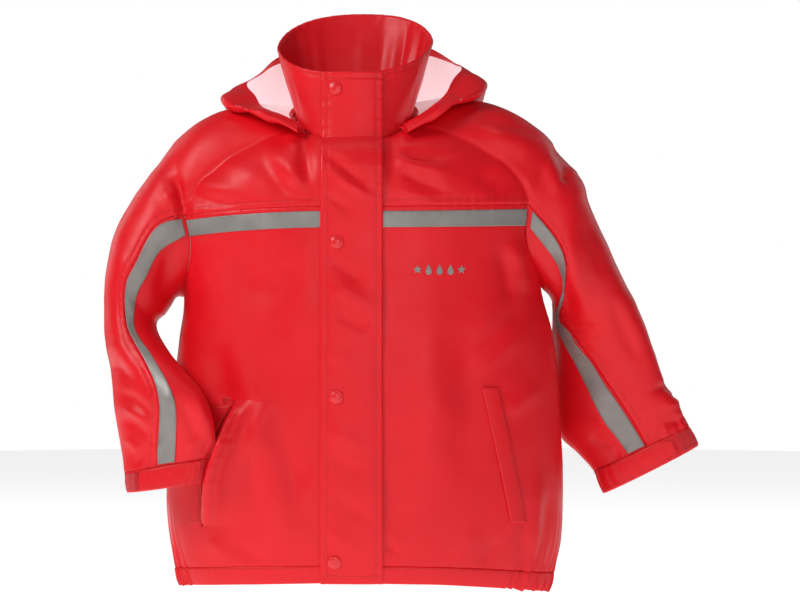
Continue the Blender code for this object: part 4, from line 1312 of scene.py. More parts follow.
def make_back():
    columns = grid_lines(-1.0, 1.0, 172)
    rows = grid_lines(HEM_RISE, 1.0, 156)
    cloth = Cloth.of(back_form, columns, rows, True)
    u, v = cloth.grid()
    cloth.press(body_height(cloth) + gathers(cloth, v) + seam_waves(cloth))
    piece = build_wall("back", cloth, SINGLE, BOTH_LOOKS, inner_slot=backed)
    return finish_piece(piece, RED_SLOT, "back"), cloth


def make_hem(name, form, low, high, count, flip):
    """A doubled casing: it puffs between the body and its folded lower edge."""
    rows = grid_lines(0.0, HEM_RISE, 11)
    cloth = Cloth.of(form, grid_lines(low, high, count), rows, flip)
    u, v = cloth.grid()
    puff = 0.9 * np.sin(np.pi * np.clip(v / HEM_RISE, 0.0, 1.0))
    top = cloth.along_v[:, -1:] - cloth.along_v
    waves = puckers(cloth.points[..., 0], top, 7.0, 9.0, 0.45, 2.6)
    cloth.press(body_height(cloth) + gathers(cloth, v) + puff + waves)
    piece = build_wall(name, cloth, DOUBLE, [CLOTH_LOOK], radius=1.4)
    return finish_piece(piece, RED_SLOT, name), cloth


def make_hems():
    made = {}
    for side in (RIGHT, LEFT):
        name = "hem_front_" + SIDE_NAME[side]
        made[side] = make_hem(name, front_form(side), 0, FRONT_COLUMNS, 110, side == RIGHT)
    made["back"] = make_hem("hem_back", back_form, -1.0, 1.0, 210, True)
    return made


# ---------------------------------------------------------------- yokes, sleeves and cuffs

YOKE_STITCH = 6.5
SLEEVE_STITCH = 7.0
BACK_SHIFT = np.array([4.0, 0.0, -9.0])


def sleeve_height(cloth, side):
    """Creases of a sleeve, and like ones on its hidden back."""
    facing = -cloth.normals[..., 1]
    creases = SLEEVE_CREASES[side]
    return (
        soft_step(-0.25, 0.25, facing) * crease_height(cloth.points, creases)
        + soft_step(-0.15, 0.35, -facing) * 0.8 * crease_height(cloth.points + BACK_SHIFT, creases)
        + 1.2 * drift(cloth.points, 48.0, 3.0)
        + 0.4 * drift(cloth.points, 20.0, 4.0)
    )


def make_uppers():
    made = {}
    for side in (RIGHT, LEFT):
        name = "upper_" + SIDE_NAME[side]
        columns = grid_lines(0.0, 3.0, 216, exact=(1.0, 2.0))
        rows = grid_lines(-1.0, CUFF_START, 190, exact=(0.0,))
        fine = list(np.linspace(-1.0, 0.0, 46)[1:-1])
        rows = sorted(set([s for s in rows if s >= 0.0 or s < -0.98] + fine))

        def off_piece(w, s):
            return s > 0.0 and not 1.0 < w < 2.0

        cloth = Cloth.of(upper_form(side), columns, rows, side == LEFT, off_piece)
        w, s = cloth.grid()
        seam_row = int(np.searchsorted(cloth.vs, 0.0))
        seam_columns = [int(np.searchsorted(cloth.us, place)) for place in (1.0, 2.0)]
        below = cloth.along_v - cloth.along_v[:, seam_row:seam_row + 1]
        on_yoke = 1.0 - soft_step(0.0, 0.7, s)
        on_sleeve = soft_step(-0.45, 0.1, s) * soft_step(0.7, 1.2, w) * (1.0 - soft_step(1.8, 2.3, w))
        height = on_yoke * body_height(cloth) + on_sleeve * sleeve_height(cloth, side)
        yoke_seam = np.where((w <= 1.0) | (w >= 2.0), 1.0, 0.0)
        height = height + yoke_seam * (
            groove(below + YOKE_STITCH) + puckers(cloth.points[..., 0], below, 9.0, 9.0, 0.4, 0.7)
        )
        for k in seam_columns:
            away = np.abs(cloth.along_u - cloth.along_u[k:k + 1])
            on_arm = soft_step(0.0, 0.2, s)
            height = height + on_arm * (
                groove(away - SLEEVE_STITCH)
                + puckers(cloth.along_v, away, 10.0, 9.0, 0.4, 1.1)
            )
        cloth.press(np.where(np.isfinite(height), height, 0.0))
        piece = build_wall(name, cloth, SINGLE, BOTH_LOOKS, inner_slot=backed)
        made[side] = (finish_piece(piece, RED_SLOT, name), cloth)
    return made


def make_under_sleeves():
    made = {}
    for side in (RIGHT, LEFT):
        name = "sleeve_under_" + SIDE_NAME[side]
        rows = grid_lines(0.0, CUFF_START, 146)
        cloth = Cloth.of(under_form(side), grid_lines(0.0, 1.0, 84), rows, side == RIGHT)
        u, s = cloth.grid()
        height = sleeve_height(cloth, side) * soft_step(-0.3, 0.5, s)
        height = height + (1.0 - soft_step(0.0, 0.7, s)) * body_height(cloth)
        for away in (cloth.along_u, cloth.along_u[-1:] - cloth.along_u):
            height = height + puckers(cloth.along_v, away, 10.0, 7.0, 0.3, 1.1)
        cloth.press(height)
        piece = build_wall(name, cloth, SINGLE, BOTH_LOOKS, inner_slot=backed)
        made[side] = (finish_piece(piece, RED_SLOT, name), cloth)
    return made


CUFF_STITCHES = (3.0, 6.5)
CUFF_SPANS = {
    RIGHT: {"patch": (18, 50), "tab": (52, 140)},
    LEFT: {"patch": (12, 50), "tab": (56, 160)},
}


def make_cuffs():
    made = {}
    for side in (RIGHT, LEFT):
        name = "cuff_" + SIDE_NAME[side]
        end = len(SLEEVE_RINGS[side]) - 0.001

        def form(a, s, side=side):
            return sleeve_point(side, a, s)

        rows = grid_lines(CUFF_START, end, 12)
        cloth = Cloth.of(form, list(np.linspace(0.0, 360.0, 131)), rows, side == RIGHT)
        a, s = cloth.grid()
        top = cloth.along_v
        height = 0.7 * np.sin(np.pi * (s - CUFF_START) / (end - CUFF_START))
        for away in CUFF_STITCHES:
            height = height + groove(top - away)
        height = height + 0.5 * ripple(a / 14.0, 0.9) + 0.4 * drift(cloth.points, 22.0, 5.0)
        cloth.press(height)
        piece = build_wall(name, cloth, DOUBLE, [CLOTH_LOOK], radius=1.3)
        finish_piece(piece, RED_SLOT, name)
        made[side] = (piece, cloth)
    return made


def rounded(us, vs, low, tip):
    """Bend that draws the strap's end at low together into a rounded tip."""
    middle = (vs[0] + vs[-1]) / 2

    def bend(u, v):
        inside = np.clip(1.0 - (u - low) / tip, 0.0, 1.0)
        return u, middle + (v - middle) * np.sqrt(1.0 - 0.80 * inside**2)

    return bend


def make_cuff_straps(cuffs):
    made = []
    for side in (RIGHT, LEFT):
        piece, host = cuffs[side]
        end = len(SLEEVE_RINGS[side])
        for kind, thick, inset, look, slot in (
            ("patch", 0.9, 0.10, PILE_LOOK, "red_loop_pile"), ("tab", 1.5, 0.04, CLOTH_LOOK, RED_SLOT),
        ):
            low, high = CUFF_SPANS[side][kind]
            us = grid_lines(low, high, 36)
            vs = grid_lines(CUFF_START + inset, end - inset - 0.001, 10)
            tip = 7.0 if side == RIGHT else 16.0
            bend = rounded(us, vs, low, tip) if kind == "tab" else None
            cloth = laid_cloth(host, us, vs, 0.5 + thick, bend)
            name = f"cuff_{kind}_{SIDE_NAME[side]}"
            if kind == "tab":
                cloth.press(0.35 * ripple(cloth.along_u / 11.0, 0.5) + 0.35)
            strap = build_wall(name, cloth, thick, [look], radius=1.0)
            finish_piece(strap, slot, name)
            made.append((strap, cloth))
    return made


# ---------------------------------------------------------------- collar and hood

RIM_STITCH = 4.0
# The collar reaches a little below the neck seam, inside, as its seam allowance does.
COLLAR_LOW = -0.06


def make_collar():
    first = -neck_angle(0.0)
    turns = grid_lines(-first, 360.0 + first, 190)

    def form(turn, q):
        return collar_point(turn if turn <= 180.0 else turn - 360.0, q)

    cloth = Cloth.of(form, turns, grid_lines(COLLAR_LOW, 1.0, 34))
    turn, q = cloth.grid()
    signed = np.where(turn <= 180.0, turn, turn - 360.0)
    height = 0.9 * drift(cloth.points, 45.0, 6.0) + 0.4 * drift(cloth.points, 18.0, 7.0)
    for place, half, size, middle in COLLAR_FOLDS:
        height = height + size * bell(signed - place, half) * bell(q - middle, 0.42)
    below_rim = cloth.along_v[:, -1:] - cloth.along_v
    height = height + groove(below_rim - RIM_STITCH)
    height = height + puckers(cloth.along_u, below_rim, 10.0, 8.0, 0.5, 1.4)
    height = height + puckers(cloth.along_u, cloth.along_v, 9.0, 8.0, 0.5, 2.2)
    cloth.press(height)
    piece = build_wall("collar", cloth, 2.3, [CLOTH_LOOK], radius=1.5)
    return finish_piece(piece, RED_SLOT, "collar"), cloth


HOOD_HEM = 0.975
HOOD_START = 41.0
HOOD_FRONT_HEM = 52.0
HOOD_STITCH = 10.0
HOOD_OUT = 1.1


def hood_faces(us, vs):
    """Backing inside the pouch, the outer cloth where the hems of rim and front are turned in."""
    return np.where((vs < HOOD_HEM) & (us > HOOD_FRONT_HEM), 1, 0)


def make_hoods():
    made = {}
    for side in (RIGHT, LEFT):
        name = "hood_" + SIDE_NAME[side]

        def form(angle, p, side=side):
            return hood_point(side, angle, p)

        rows = grid_lines(0.0, 1.0, 96, exact=(HOOD_HEM,))
        cloth = Cloth.of(form, grid_lines(HOOD_START, 180.0, 92), rows, side == RIGHT)
        angle, p = cloth.grid()
        free = soft_step(HOOD_START, 62.0, angle) * soft_step(0.12, 0.5, p)
        height = 0.9 * drift(cloth.points, 40.0, 8.0)
        for start, end, half, size, low in HOOD_FOLDS[side]:
            middle = start + (end - start) * p
            height = height + size * bell(angle - middle, half) * soft_step(low, low + 0.3, p)
        height = height * free * (1.0 - 0.65 * soft_step(0.86, 1.0, p))
        from_rim = cloth.along_v[:, -1:] - cloth.along_v
        height = height + groove(from_rim - HOOD_STITCH, 1.3, 0.4)
        middle_seam = cloth.along_u[-1:] - cloth.along_u
        height = height * soft_step(0.0, 6.0, middle_seam)
        height = height + puckers(cloth.along_v, middle_seam, 9.0, 6.0, 0.3, 1.0)
        cloth.press(height * 0.8)
        # The hood's lining material glows: painted light.
        looks = [CLOTH_LOOK, GLOWING_LINING_LOOK]
        piece = build_wall(name, cloth, 1.0, looks, HOOD_OUT, 1.0, hood_faces)
        made[side] = (finish_piece(piece, "hood_cloth", name), cloth)
    return made


# ---------------------------------------------------------------- front closing

FLAP_STITCH = 6.6
SEAM_STITCH = 6.5
FLAP_TOP_STITCH = 6.0
FLAP_FOOT_STITCH = 9.0


def flap_width():
    return FLAP_X[1] - FLAP_X[0]


def make_flap():
    places = grid_lines(0.0, 3.0, 250)
    cloth = Cloth.of(flap_point, grid_lines(0.0, 1.0, 30), places)
    free_edge = cloth.along_u
    sewn_edge = cloth.along_u[-1:] - cloth.along_u
    height = crease_height(cloth.points, FLAP_CREASES) + 0.7 * drift(cloth.points, 50.0, 9.0)
    height = height + 0.3 * drift(cloth.points, 18.0, 10.0)
    height = height + groove(free_edge - FLAP_STITCH) + groove(sewn_edge - SEAM_STITCH, 1.4, 0.5)
    height = height + puckers(cloth.along_v, free_edge, 14.0, 8.0, 0.45, 0.6)
    height = height + puckers(cloth.along_v, sewn_edge, 10.0, 8.0, 0.35, 1.7)
    top = cloth.along_v[:, -1:] - cloth.along_v
    height = height + groove(top - FLAP_TOP_STITCH) + groove(cloth.along_v - FLAP_FOOT_STITCH)
    for x, z in SNAP_PLACES:
        away = np.hypot(cloth.points[..., 0] - x, cloth.points[..., 2] - z)
        height = height - 0.7 * bell(away, 9.0)
    cloth.press(height)
    piece = build_wall("storm_flap", cloth, 1.7, [CLOTH_LOOK], radius=1.5)
    return finish_piece(piece, RED_SLOT, "storm_flap"), cloth


def make_zip():
    """Zip tape with its closed teeth, which shows above the flap's top and from inside."""
    places = grid_lines(0.0, 3.0, 150)
    tape = Cloth.of(centre_front, grid_lines(-ZIP_HALF + 0.2, ZIP_HALF - 0.2, 8), places)
    piece = build_wall("front_zip", tape, 1.2, [ZIP_LOOK], radius=0.8)
    finish_piece(piece, "red_zip", "front_zip")
    points, normals = line_along_v(tape, 0.0, 0.02, 2.98)
    centres, heading, up = resample(points, normals, 1.5)
    across = np.cross(heading, up)
    corners = []
    flip = np.where(np.arange(len(centres)) % 2, 1.0, -1.0)[:, None]
    for side in (-1, 1):
        for along in (-1, 1):
            for rise, half in ((0.1, 2.3), (1.0, 1.7)):
                out = across * (half * side + 0.5 * flip)
                corners.append(centres + out + heading * (0.55 * along) + up * rise)
    points = np.stack(corners, 1).reshape(-1, 3)
    base = 8 * np.arange(len(centres))[:, None, None]
    shape = np.array([
        (0, 1, 3, 2), (4, 6, 7, 5), (0, 4, 5, 1), (2, 3, 7, 6), (1, 5, 7, 3), (0, 2, 6, 4),
    ])
    faces = (base + shape[None]).reshape(-1, 4)
    teeth = write_mesh("zip_teeth", points, faces, np.zeros(len(faces), int), [CAP_LOOK])
    bevel = teeth.modifiers.new("edges", "BEVEL")
    bevel.width = 0.15 * MM
    bevel.segments = 1
    return piece, tape, teeth


CAP_PROFILE = [
    (6.50, 0.0), (6.58, 0.45), (6.40, 0.95), (5.95, 1.22), (5.45, 1.16), (5.15, 1.20),
    (4.60, 1.52), (3.60, 1.86), (2.20, 2.12), (0.90, 2.22),
]


def make_snaps(flap):
    """Four moulded caps: a beaded rim round a low dome."""
    count = 48
    turn = np.linspace(0.0, 2 * np.pi, count, endpoint=False)
    for k, (x, z) in enumerate(SNAP_PLACES):
        share = (x - FLAP_X[0]) / flap_width()
        line, normals = line_along_v(flap, share, 0.0, 3.0)
        nearest = int(np.argmin(np.abs(line[:, 2] - z)))
        centre, up = line[nearest], normals[nearest]
        side = np.cross(up, (0.0, 0.0, 1.0))
        side /= np.linalg.norm(side)
        other = np.cross(up, side)
        points = []
        for radius, rise in [(6.2, -0.6)] + CAP_PROFILE:
            ring = side * np.cos(turn)[:, None] + other * np.sin(turn)[:, None]
            points.append(centre + ring * radius + up * (rise + 0.5))
        points = np.concatenate(points + [np.array([centre + up * 2.75, centre - up * 0.1])])
        rings = len(CAP_PROFILE) + 1
        faces = []
        for r in range(rings - 1):
            for c in range(count):
                c2 = (c + 1) % count
                faces.append((r * count + c, (r + 1) * count + c, (r + 1) * count + c2, r * count + c2))
        name = "snap_" + str(k + 1)
        last = (rings - 1) * count
        bm = bmesh.new()
        verts = [bm.verts.new(p * MM) for p in points]
        for face in faces:
            bm.faces.new([verts[i] for i in face])
        for c in range(count):
            c2 = (c + 1) % count
            bm.faces.new((verts[last + c], verts[rings * count], verts[last + c2]))
            bm.faces.new((verts[c2], verts[rings * count + 1], verts[c]))
        bmesh.ops.recalc_face_normals(bm, faces=bm.faces)
        mesh = bpy.data.meshes.new(name + "_cap")
        bm.to_mesh(mesh)
        bm.free()
        mesh.shade_smooth()
        mesh.materials.append(CAP_LOOK)
        cap = bpy.data.objects.new(name + "_cap", mesh)
        bpy.context.scene.collection.objects.link(cap)
        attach(cap, "root")
        finish_piece(cap, "red_snap", name)


# ---------------------------------------------------------------- tape, pockets and print


def make_tape(fronts, unders):
    across_chest = (
        grid_lines(STRIPE_START, FRONT_COLUMNS - 0.02, 80),
        grid_lines(STRIPE_LOW, STRIPE_HIGH, 8),
    )
    down_sleeve = (grid_lines(*STRIPE_SHARES, 8), grid_lines(0.12, CUFF_START - 0.1, 150))
    made = []
    for side in (RIGHT, LEFT):
        for kind, hosts, places, gap in (
            ("chest", fronts, across_chest, 0.85), ("sleeve", unders, down_sleeve, 1.1),
        ):
            cloth = laid_cloth(hosts[side][1], *places, gap)
            name = f"{kind}_stripe_{SIDE_NAME[side]}"
            piece = build_wall(name, cloth, 0.5, [TAPE_LOOK], radius=0.5)
            made.append((finish_piece(piece, "reflective_tape", name), cloth, side))
    return made


def make_pockets(fronts):
    made = []
    host = fronts[RIGHT][1]
    rows = grid_lines(SLIT_LOW + 0.006, SLIT_HIGH - 0.012, 70)
    us = grid_lines(SLIT_COLUMN + 1.02, SLIT_COLUMN + 2.0, 8)

    def beside_opening(u, v):
        place = np.vectorize(lambda rise: slit_angles(rise)[1])(v)
        edge = np.vectorize(edge_angle)(v)
        wide = TAPE_WIDTH / (np.radians(edge - place) * 120.0)
        rest = FRONT_COLUMNS - SLIT_COLUMN - 1
        return SLIT_COLUMN + 1.02 + (u - us[0]) / (us[-1] - us[0]) * wide * rest, v

    cloth = laid_cloth(host, us, rows, 0.4 + 1.4, beside_opening)
    piece = build_wall("pocket_welt_right", cloth, 1.4, [CLOTH_LOOK], radius=1.2)
    made.append((finish_piece(piece, RED_SLOT, "pocket_welt_right"), cloth))

    def facing_form(u, rise):
        lip, back = slit_angles(rise)
        point = body_point(RIGHT, lip - 5.0 + (back - lip + 9.0) * u, rise)
        return Vector((point.x, point.y + 3.0, point.z))

    rows = grid_lines(SLIT_LOW - 0.01, SLIT_HIGH + 0.012, 70)
    facing = Cloth.of(facing_form, grid_lines(0.0, 1.0, 16), rows, True)
    facing.press(0.5 * drift(facing.points, 20.0, 11.0))
    # The facing's material is painted shade: its darker red stands for the shade inside the opening.
    piece = build_wall("pocket_facing_right", facing, 1.2, [SHADED_FACING_LOOK], radius=1.0)
    finish_piece(piece, RED_SLOT, "pocket_facing_right")
    declare(piece, facing, "hung", ["front_right"])

    host = fronts[LEFT][1]
    rows = grid_lines(LEFT_WELT["low"], LEFT_WELT["high"], 80)

    def along_welt(share, rise):
        t = (rise - LEFT_WELT["low"]) / (LEFT_WELT["high"] - LEFT_WELT["low"])
        out = LEFT_WELT["low_x"] + (LEFT_WELT["high_x"] - LEFT_WELT["low_x"]) * t - CENTRE_X
        out = out + LEFT_WELT["width"] * share
        angle = np.vectorize(lambda o, r: body_angle(LEFT, o, r))
        first = angle(np.full(out.shape, ZIP_HALF + SEAM_GAP), rise)
        last = np.vectorize(lambda r: front_angle(LEFT, FRONT_COLUMNS, r))(rise)
        return (angle(out, rise) - first) / (last - first) * FRONT_COLUMNS, rise

    cloth = laid_cloth(host, grid_lines(0.0, 1.0, 8), rows, 0.7 + 1.4, along_welt)
    cloth.press(0.4 * np.sin(np.pi * cloth.grid()[0]))
    piece = build_wall("pocket_welt_left", cloth, 1.4, [CLOTH_LOOK], radius=1.2)
    made.append((finish_piece(piece, RED_SLOT, "pocket_welt_left"), cloth))
    return made


MOTIF_CENTRE = (76.0, -175.8)
MOTIF_SPACING = 10.6
STAR_SIZE = 4.3
DROP_SIZE = 5.0
INK_RISE = 0.42
INK_SINK = -0.2


def star_outline(size):
    turns = np.arange(10) * math.pi / 5 + math.pi / 2
    radii = np.where(np.arange(10) % 2, 0.46 * size, size)
    return np.stack([radii * np.cos(turns), radii * np.sin(turns)], -1)


def drop_outline(size):
    turns = np.linspace(0.0, 2 * math.pi, 26, endpoint=False) + math.pi / 2
    narrow = np.sin((turns - math.pi / 2) / 2) ** 1.4
    return np.stack([0.80 * size * np.cos(turns) * narrow, size * np.sin(turns)], -1)


def make_motif(host):
    """A generic grey print on the left chest: a star, three raindrops and a star."""
    target = host.points[..., [0, 2]].reshape(-1, 2)
    tree = kdtree.KDTree(len(target))
    for k, (x, z) in enumerate(target):
        tree.insert((x, z, 0.0), k)
    tree.balance()
    flat_points = host.points.reshape(-1, 3)
    flat_normals = host.normals.reshape(-1, 3)

    def draped(x, z, rise):
        found = tree.find_n((x, z, 0.0), 4)
        weights = np.array([1.0 / (0.05 + f[2]) for f in found])
        weights /= weights.sum()
        index = [f[1] for f in found]
        y = float(weights @ flat_points[index, 1])
        normal = weights @ flat_normals[index]
        return np.array([x, y, z]) + normal * rise

    points, faces = [], []
    shapes = [star_outline(STAR_SIZE)] + [drop_outline(DROP_SIZE)] * 3 + [star_outline(STAR_SIZE)]
    for k, shape in enumerate(shapes):
        x0 = MOTIF_CENTRE[0] + (k - 2) * MOTIF_SPACING
        start, count = len(points), len(shape)
        for rise in (INK_RISE, INK_SINK):
            for dx, dz in shape:
                points.append(draped(x0 + dx, MOTIF_CENTRE[1] + dz, rise))
        points.append(draped(x0, MOTIF_CENTRE[1], INK_RISE))
        points.append(draped(x0, MOTIF_CENTRE[1], INK_SINK))
        for i in range(count):
            i2 = (i + 1) % count
            faces.append((start + i, start + i2, start + 2 * count))
            faces.append((start + count + i2, start + count + i, start + 2 * count + 1))
            faces.append((start + i2, start + i, start + count + i))
            faces.append((start + i2, start + count + i, start + count + i2))
    slots = np.zeros(len(faces), int)
    obj = write_mesh("chest_print", np.array(points), np.array(faces), slots, [INK_LOOK])
    for polygon in obj.data.polygons:
        polygon.use_smooth = False
    return obj


# ---------------------------------------------------------------- rows of stitches


def offset_line_v(cloth, away, low, high, from_start=True):
    """A line up the cloth at an even distance from its first or last column."""
    vs = np.linspace(low, high, 220)
    spots = []
    for v in vs:
        j = min(len(cloth.vs) - 1, int(np.searchsorted(cloth.vs, v)))
        run = cloth.along_u[:, j]
        spots.append(np.interp(away if from_start else run[-1] - away, run, cloth.us))
    return cloth.at(np.array(spots), vs)


def offset_line_u(cloth, away, low, high, from_start=True):
    """A line across the cloth at an even distance from its first or last row."""
    us = np.linspace(low, high, 260)
    spots = []
    for u in us:
        i = min(len(cloth.us) - 1, int(np.searchsorted(cloth.us, u)))
        run = cloth.along_v[i]
        spots.append(np.interp(away if from_start else run[-1] - away, run, cloth.vs))
    return cloth.at(us, np.array(spots))


def upper_line(cloth, away, low, high):
    """Along the yoke seam, a distance up from it."""
    row = int(np.searchsorted(cloth.vs, 0.0))
    us = np.linspace(low, high, 200)
    spots = []
    for u in us:
        i = min(len(cloth.us) - 1, int(np.searchsorted(cloth.us, u)))
        run = cloth.along_v[i, row] - cloth.along_v[i]
        spots.append(np.interp(away, run[row::-1], cloth.vs[row::-1]))
    return cloth.at(us, np.array(spots))


def arm_line(cloth, place, away, low, high):
    """Down the sleeve, a distance from the seam at the place 1 (front) or 2 (back)."""
    column = int(np.searchsorted(cloth.us, float(place)))
    sign = 1.0 if place == 1 else -1.0
    vs = np.linspace(low, high, 220)
    spots = []
    for v in vs:
        j = min(len(cloth.vs) - 1, int(np.searchsorted(cloth.vs, v)))
        run = (cloth.along_u[:, j] - cloth.along_u[column, j]) * sign
        order = slice(None) if sign > 0 else slice(None, None, -1)
        spots.append(np.interp(away, run[order], cloth.us[order]))
    return cloth.at(np.array(spots), vs)


def outline_runs(cloth, inset):
    """The four lines of stitches just inside a small piece's edges."""
    u0, u1, v0, v1 = cloth.us[0], cloth.us[-1], cloth.vs[0], cloth.vs[-1]
    return [
        offset_line_v(cloth, inset, v0, v1), offset_line_v(cloth, inset, v0, v1, False),
        offset_line_u(cloth, inset, u0, u1), offset_line_u(cloth, inset, u0, u1, False),
    ]


def make_all_stitches(fronts, hems, uppers, cuffs, straps, collar, hoods, flap, tape, pockets):
    made = {}
    for side in (RIGHT, LEFT):
        cloth = uppers[side][1]
        runs = [
            upper_line(cloth, YOKE_STITCH, 0.12, 1.0), upper_line(cloth, YOKE_STITCH, 2.0, 2.99),
            arm_line(cloth, 1, SLEEVE_STITCH, 0.05, CUFF_START - 0.1),
            arm_line(cloth, 2, SLEEVE_STITCH, 0.05, CUFF_START - 0.1),
        ]
        name = "stitches_upper_" + SIDE_NAME[side]
        made[name] = make_stitches(name, runs, THREAD_LOOK)
        cloth = cuffs[side][1]
        runs = [offset_line_u(cloth, away, 0.0, 360.0) for away in CUFF_STITCHES]
        name = "stitches_cuff_" + SIDE_NAME[side]
        made[name] = make_stitches(name, runs, THREAD_LOOK)
        cloth = hoods[side][1]
        points, normals = offset_line_u(cloth, HOOD_STITCH, 50.0, 179.5, False)
        raised = [(points + normals * HOOD_OUT, normals)]
        name = "stitches_hood_" + SIDE_NAME[side]
        made[name] = make_stitches(name, raised, THREAD_LOOK)
    runs = [offset_line_u(hems[key][1], 1.6, *ends, False) for key, ends in (
        (RIGHT, (0.7, 9.0)), (LEFT, (0.5, 9.0)), ("back", (-1.0, 1.0)),
    )]
    made["hem"] = make_stitches("stitches_hem", runs, THREAD_LOOK, pitch=4.0, length=2.7)
    made["collar"] = make_stitches(
        "stitches_collar",
        [offset_line_u(collar, RIM_STITCH, collar.us[0], collar.us[-1], False)],
        THREAD_LOOK,
    )
    runs = [
        offset_line_v(flap, FLAP_STITCH, 0.02, 2.98),
        offset_line_v(flap, SEAM_STITCH, 0.02, 2.98, False),
        offset_line_u(flap, FLAP_TOP_STITCH, 0.08, 0.98, False),
        offset_line_u(flap, FLAP_FOOT_STITCH, 0.08, 0.98),
    ]
    made["flap"] = make_stitches("stitches_flap", runs, THREAD_LOOK)
    runs = [run for piece, cloth in straps + pockets for run in outline_runs(cloth, 2.2)]
    lip = SLIT_COLUMN - 0.42
    runs.append(line_along_v(fronts[RIGHT][1], lip, SLIT_LOW, SLIT_HIGH))
    made["small"] = make_stitches(
        "stitches_trim", runs, THREAD_LOOK, pitch=3.0, length=2.2, radius=0.24,
    )
    runs = []
    for piece, cloth, side in tape:
        across = cloth.width < cloth.length
        line = offset_line_v if across else offset_line_u
        low, high = (cloth.vs[0], cloth.vs[-1]) if across else (cloth.us[0], cloth.us[-1])
        runs += [line(cloth, 1.3, low, high), line(cloth, 1.3, low, high, False)]
    made["tape"] = make_stitches(
        "stitches_tape", runs, TAPE_THREAD_LOOK, pitch=2.9, length=2.1, radius=0.2,
    )
    return made


# ---------------------------------------------------------------- stage

FLOOR_Z = -0.62
FLOOR_RADIUS = 4.0
FLOOR_GLOW = 0.74
AMBIENT = 0.12
CAMERA_LENS = 99.0


def make_stage():
    """A wide pale floor, bright enough to run into the white of the studio."""
    bm = bmesh.new()
    bmesh.ops.create_circle(bm, cap_ends=True, radius=FLOOR_RADIUS, segments=96)
    mesh = bpy.data.meshes.new("floor")
    bm.to_mesh(mesh)
    bm.free()
    look = Look("pale_floor", 0.9, Emission_Color=(1.0, 1.0, 1.0, 1.0), Emission_Strength=FLOOR_GLOW)
    look.colour(look.noise(3.0), (0.90, 0.90, 0.905, 1.0), (0.88, 0.88, 0.885, 1.0))
    mesh.materials.append(look.material)
    floor = bpy.data.objects.new("floor", mesh)
    floor.location.z = FLOOR_Z
    bpy.context.scene.collection.objects.link(floor)


MIDDLE = (0.03, 0.0, -0.2)
NECK = (0.03, 0.05, -0.05)
# Soft lights: name, place, what it points at, width and height in metres, watts.
LIGHTS = [
    ("key", (-1.5, -1.35, 1.2), MIDDLE, (0.9, 0.9), 30.0),
    ("fill", (0.30, -2.3, 0.20), MIDDLE, (1.0, 1.0), 7.0),
    ("low", (-0.1, -1.7, -0.95), NECK, (1.0, 0.6), 3.2),
    ("top", (0.0, -0.3, 1.8), MIDDLE, (1.2, 0.8), 4.0),
    ("back_left", (-1.6, 1.6, 0.6), MIDDLE, (1.2, 1.6), 7.0),
    ("back_right", (1.6, 1.6, 0.6), MIDDLE, (1.2, 1.6), 5.0),
]


def make_lights():
    for name, place, target, size, energy in LIGHTS:
        data = bpy.data.lights.new(name, "AREA")
        data.shape = "RECTANGLE"
        data.size, data.size_y = size
        data.energy = energy
        light = bpy.data.objects.new(name, data)
        light.location = place
        light.rotation_euler = (Vector(target) - Vector(place)).to_track_quat("-Z", "Y").to_euler()
        bpy.context.scene.collection.objects.link(light)
    world = bpy.data.worlds.new("studio")
    world.use_nodes = True
    tree = world.node_tree
    background = tree.nodes["Background"]
    background.inputs["Color"].default_value = (1.0, 1.0, 1.0, 1.0)
    seen_directly = tree.nodes.new("ShaderNodeLightPath").outputs["Is Camera Ray"]
    strength = tree.nodes.new("ShaderNodeMapRange")
    strength.inputs["To Min"].default_value = AMBIENT
    strength.inputs["To Max"].default_value = 1.0
    tree.links.new(seen_directly, strength.inputs["Value"])
    tree.links.new(strength.outputs["Result"], background.inputs["Strength"])
    bpy.context.scene.world = world
    bpy.context.scene.view_settings.view_transform = "Standard"


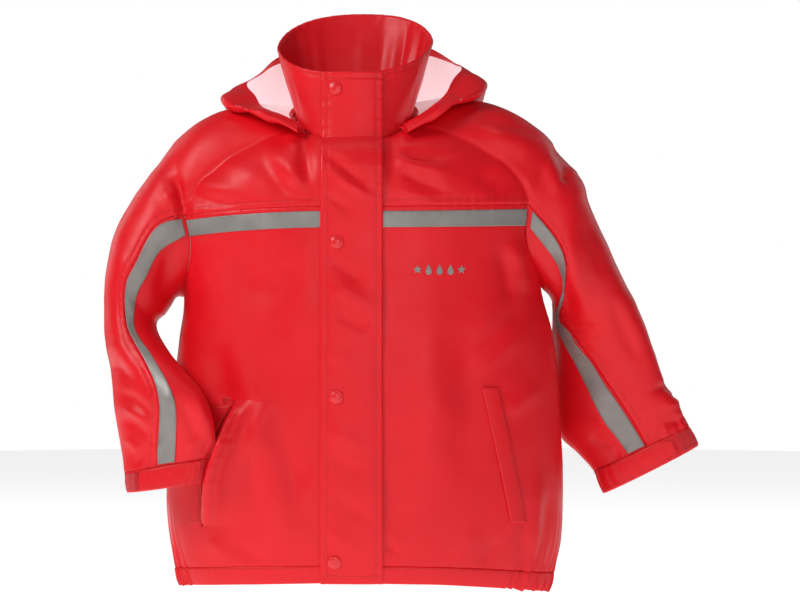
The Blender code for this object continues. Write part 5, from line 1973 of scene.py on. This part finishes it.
def make_camera():
    data = bpy.data.cameras.new("camera")
    data.sensor_width = 36.0
    data.lens = CAMERA_LENS
    camera = bpy.data.objects.new("camera", data)
    camera.location = (VIEW_X * MM, -VIEW_DISTANCE * MM, VIEW_Z * MM)
    camera.rotation_euler = (math.pi / 2, 0.0, 0.0)
    bpy.context.scene.collection.objects.link(camera)
    bpy.context.scene.camera = camera


def main():
    make_camera()
    make_stage()
    make_lights()
    fronts = make_fronts()
    back, back_cloth = make_back()
    hems = make_hems()
    uppers = make_uppers()
    unders = make_under_sleeves()
    cuffs = make_cuffs()
    straps = make_cuff_straps(cuffs)
    collar, collar_cloth = make_collar()
    hoods = make_hoods()
    flap, flap_cloth = make_flap()
    zip_piece, zip_cloth, teeth = make_zip()
    make_snaps(flap_cloth)
    tape = make_tape(fronts, unders)
    pockets = make_pockets(fronts)
    motif = make_motif(fronts[LEFT][1])
    made = make_all_stitches(
        fronts, hems, uppers, cuffs, straps, collar_cloth, hoods, flap_cloth, tape, pockets,
    )

    def taped(kind, side):
        return [piece for piece, cloth, s in tape if s == side and piece.name.startswith(kind)]

    for side in (RIGHT, LEFT):
        name = SIDE_NAME[side]
        on_front = taped("chest", side) + [bpy.data.objects["pocket_welt_" + name]]
        if side == LEFT:
            on_front.append(motif)
        on_cuff = [strap for strap, cloth in straps if strap.name.endswith(name)]
        declare(*fronts[side], "hung", ["upper_" + name], on_front)
        declare(*hems[side], "gathered", ["front_" + name])
        declare(*uppers[side], "hung", [], [made["stitches_upper_" + name]])
        declare(*unders[side], "hung", ["upper_" + name], taped("sleeve", side))
        declare(*cuffs[side], "hung", ["upper_" + name], on_cuff)
        declare(*hoods[side], "hung", ["collar"], [made["stitches_hood_" + name]])
    declare(back, back_cloth, "hung", ["upper_right", "upper_left"])
    declare(*hems["back"], "gathered", ["back"], [made["hem"]])
    declare(collar, collar_cloth, "hung", ["upper_right", "upper_left"], [made["collar"]])
    declare(flap, flap_cloth, "hung", ["front_left"], [made["flap"]])
    declare(zip_piece, zip_cloth, "hung", ["front_right", "front_left"], [teeth])


main()
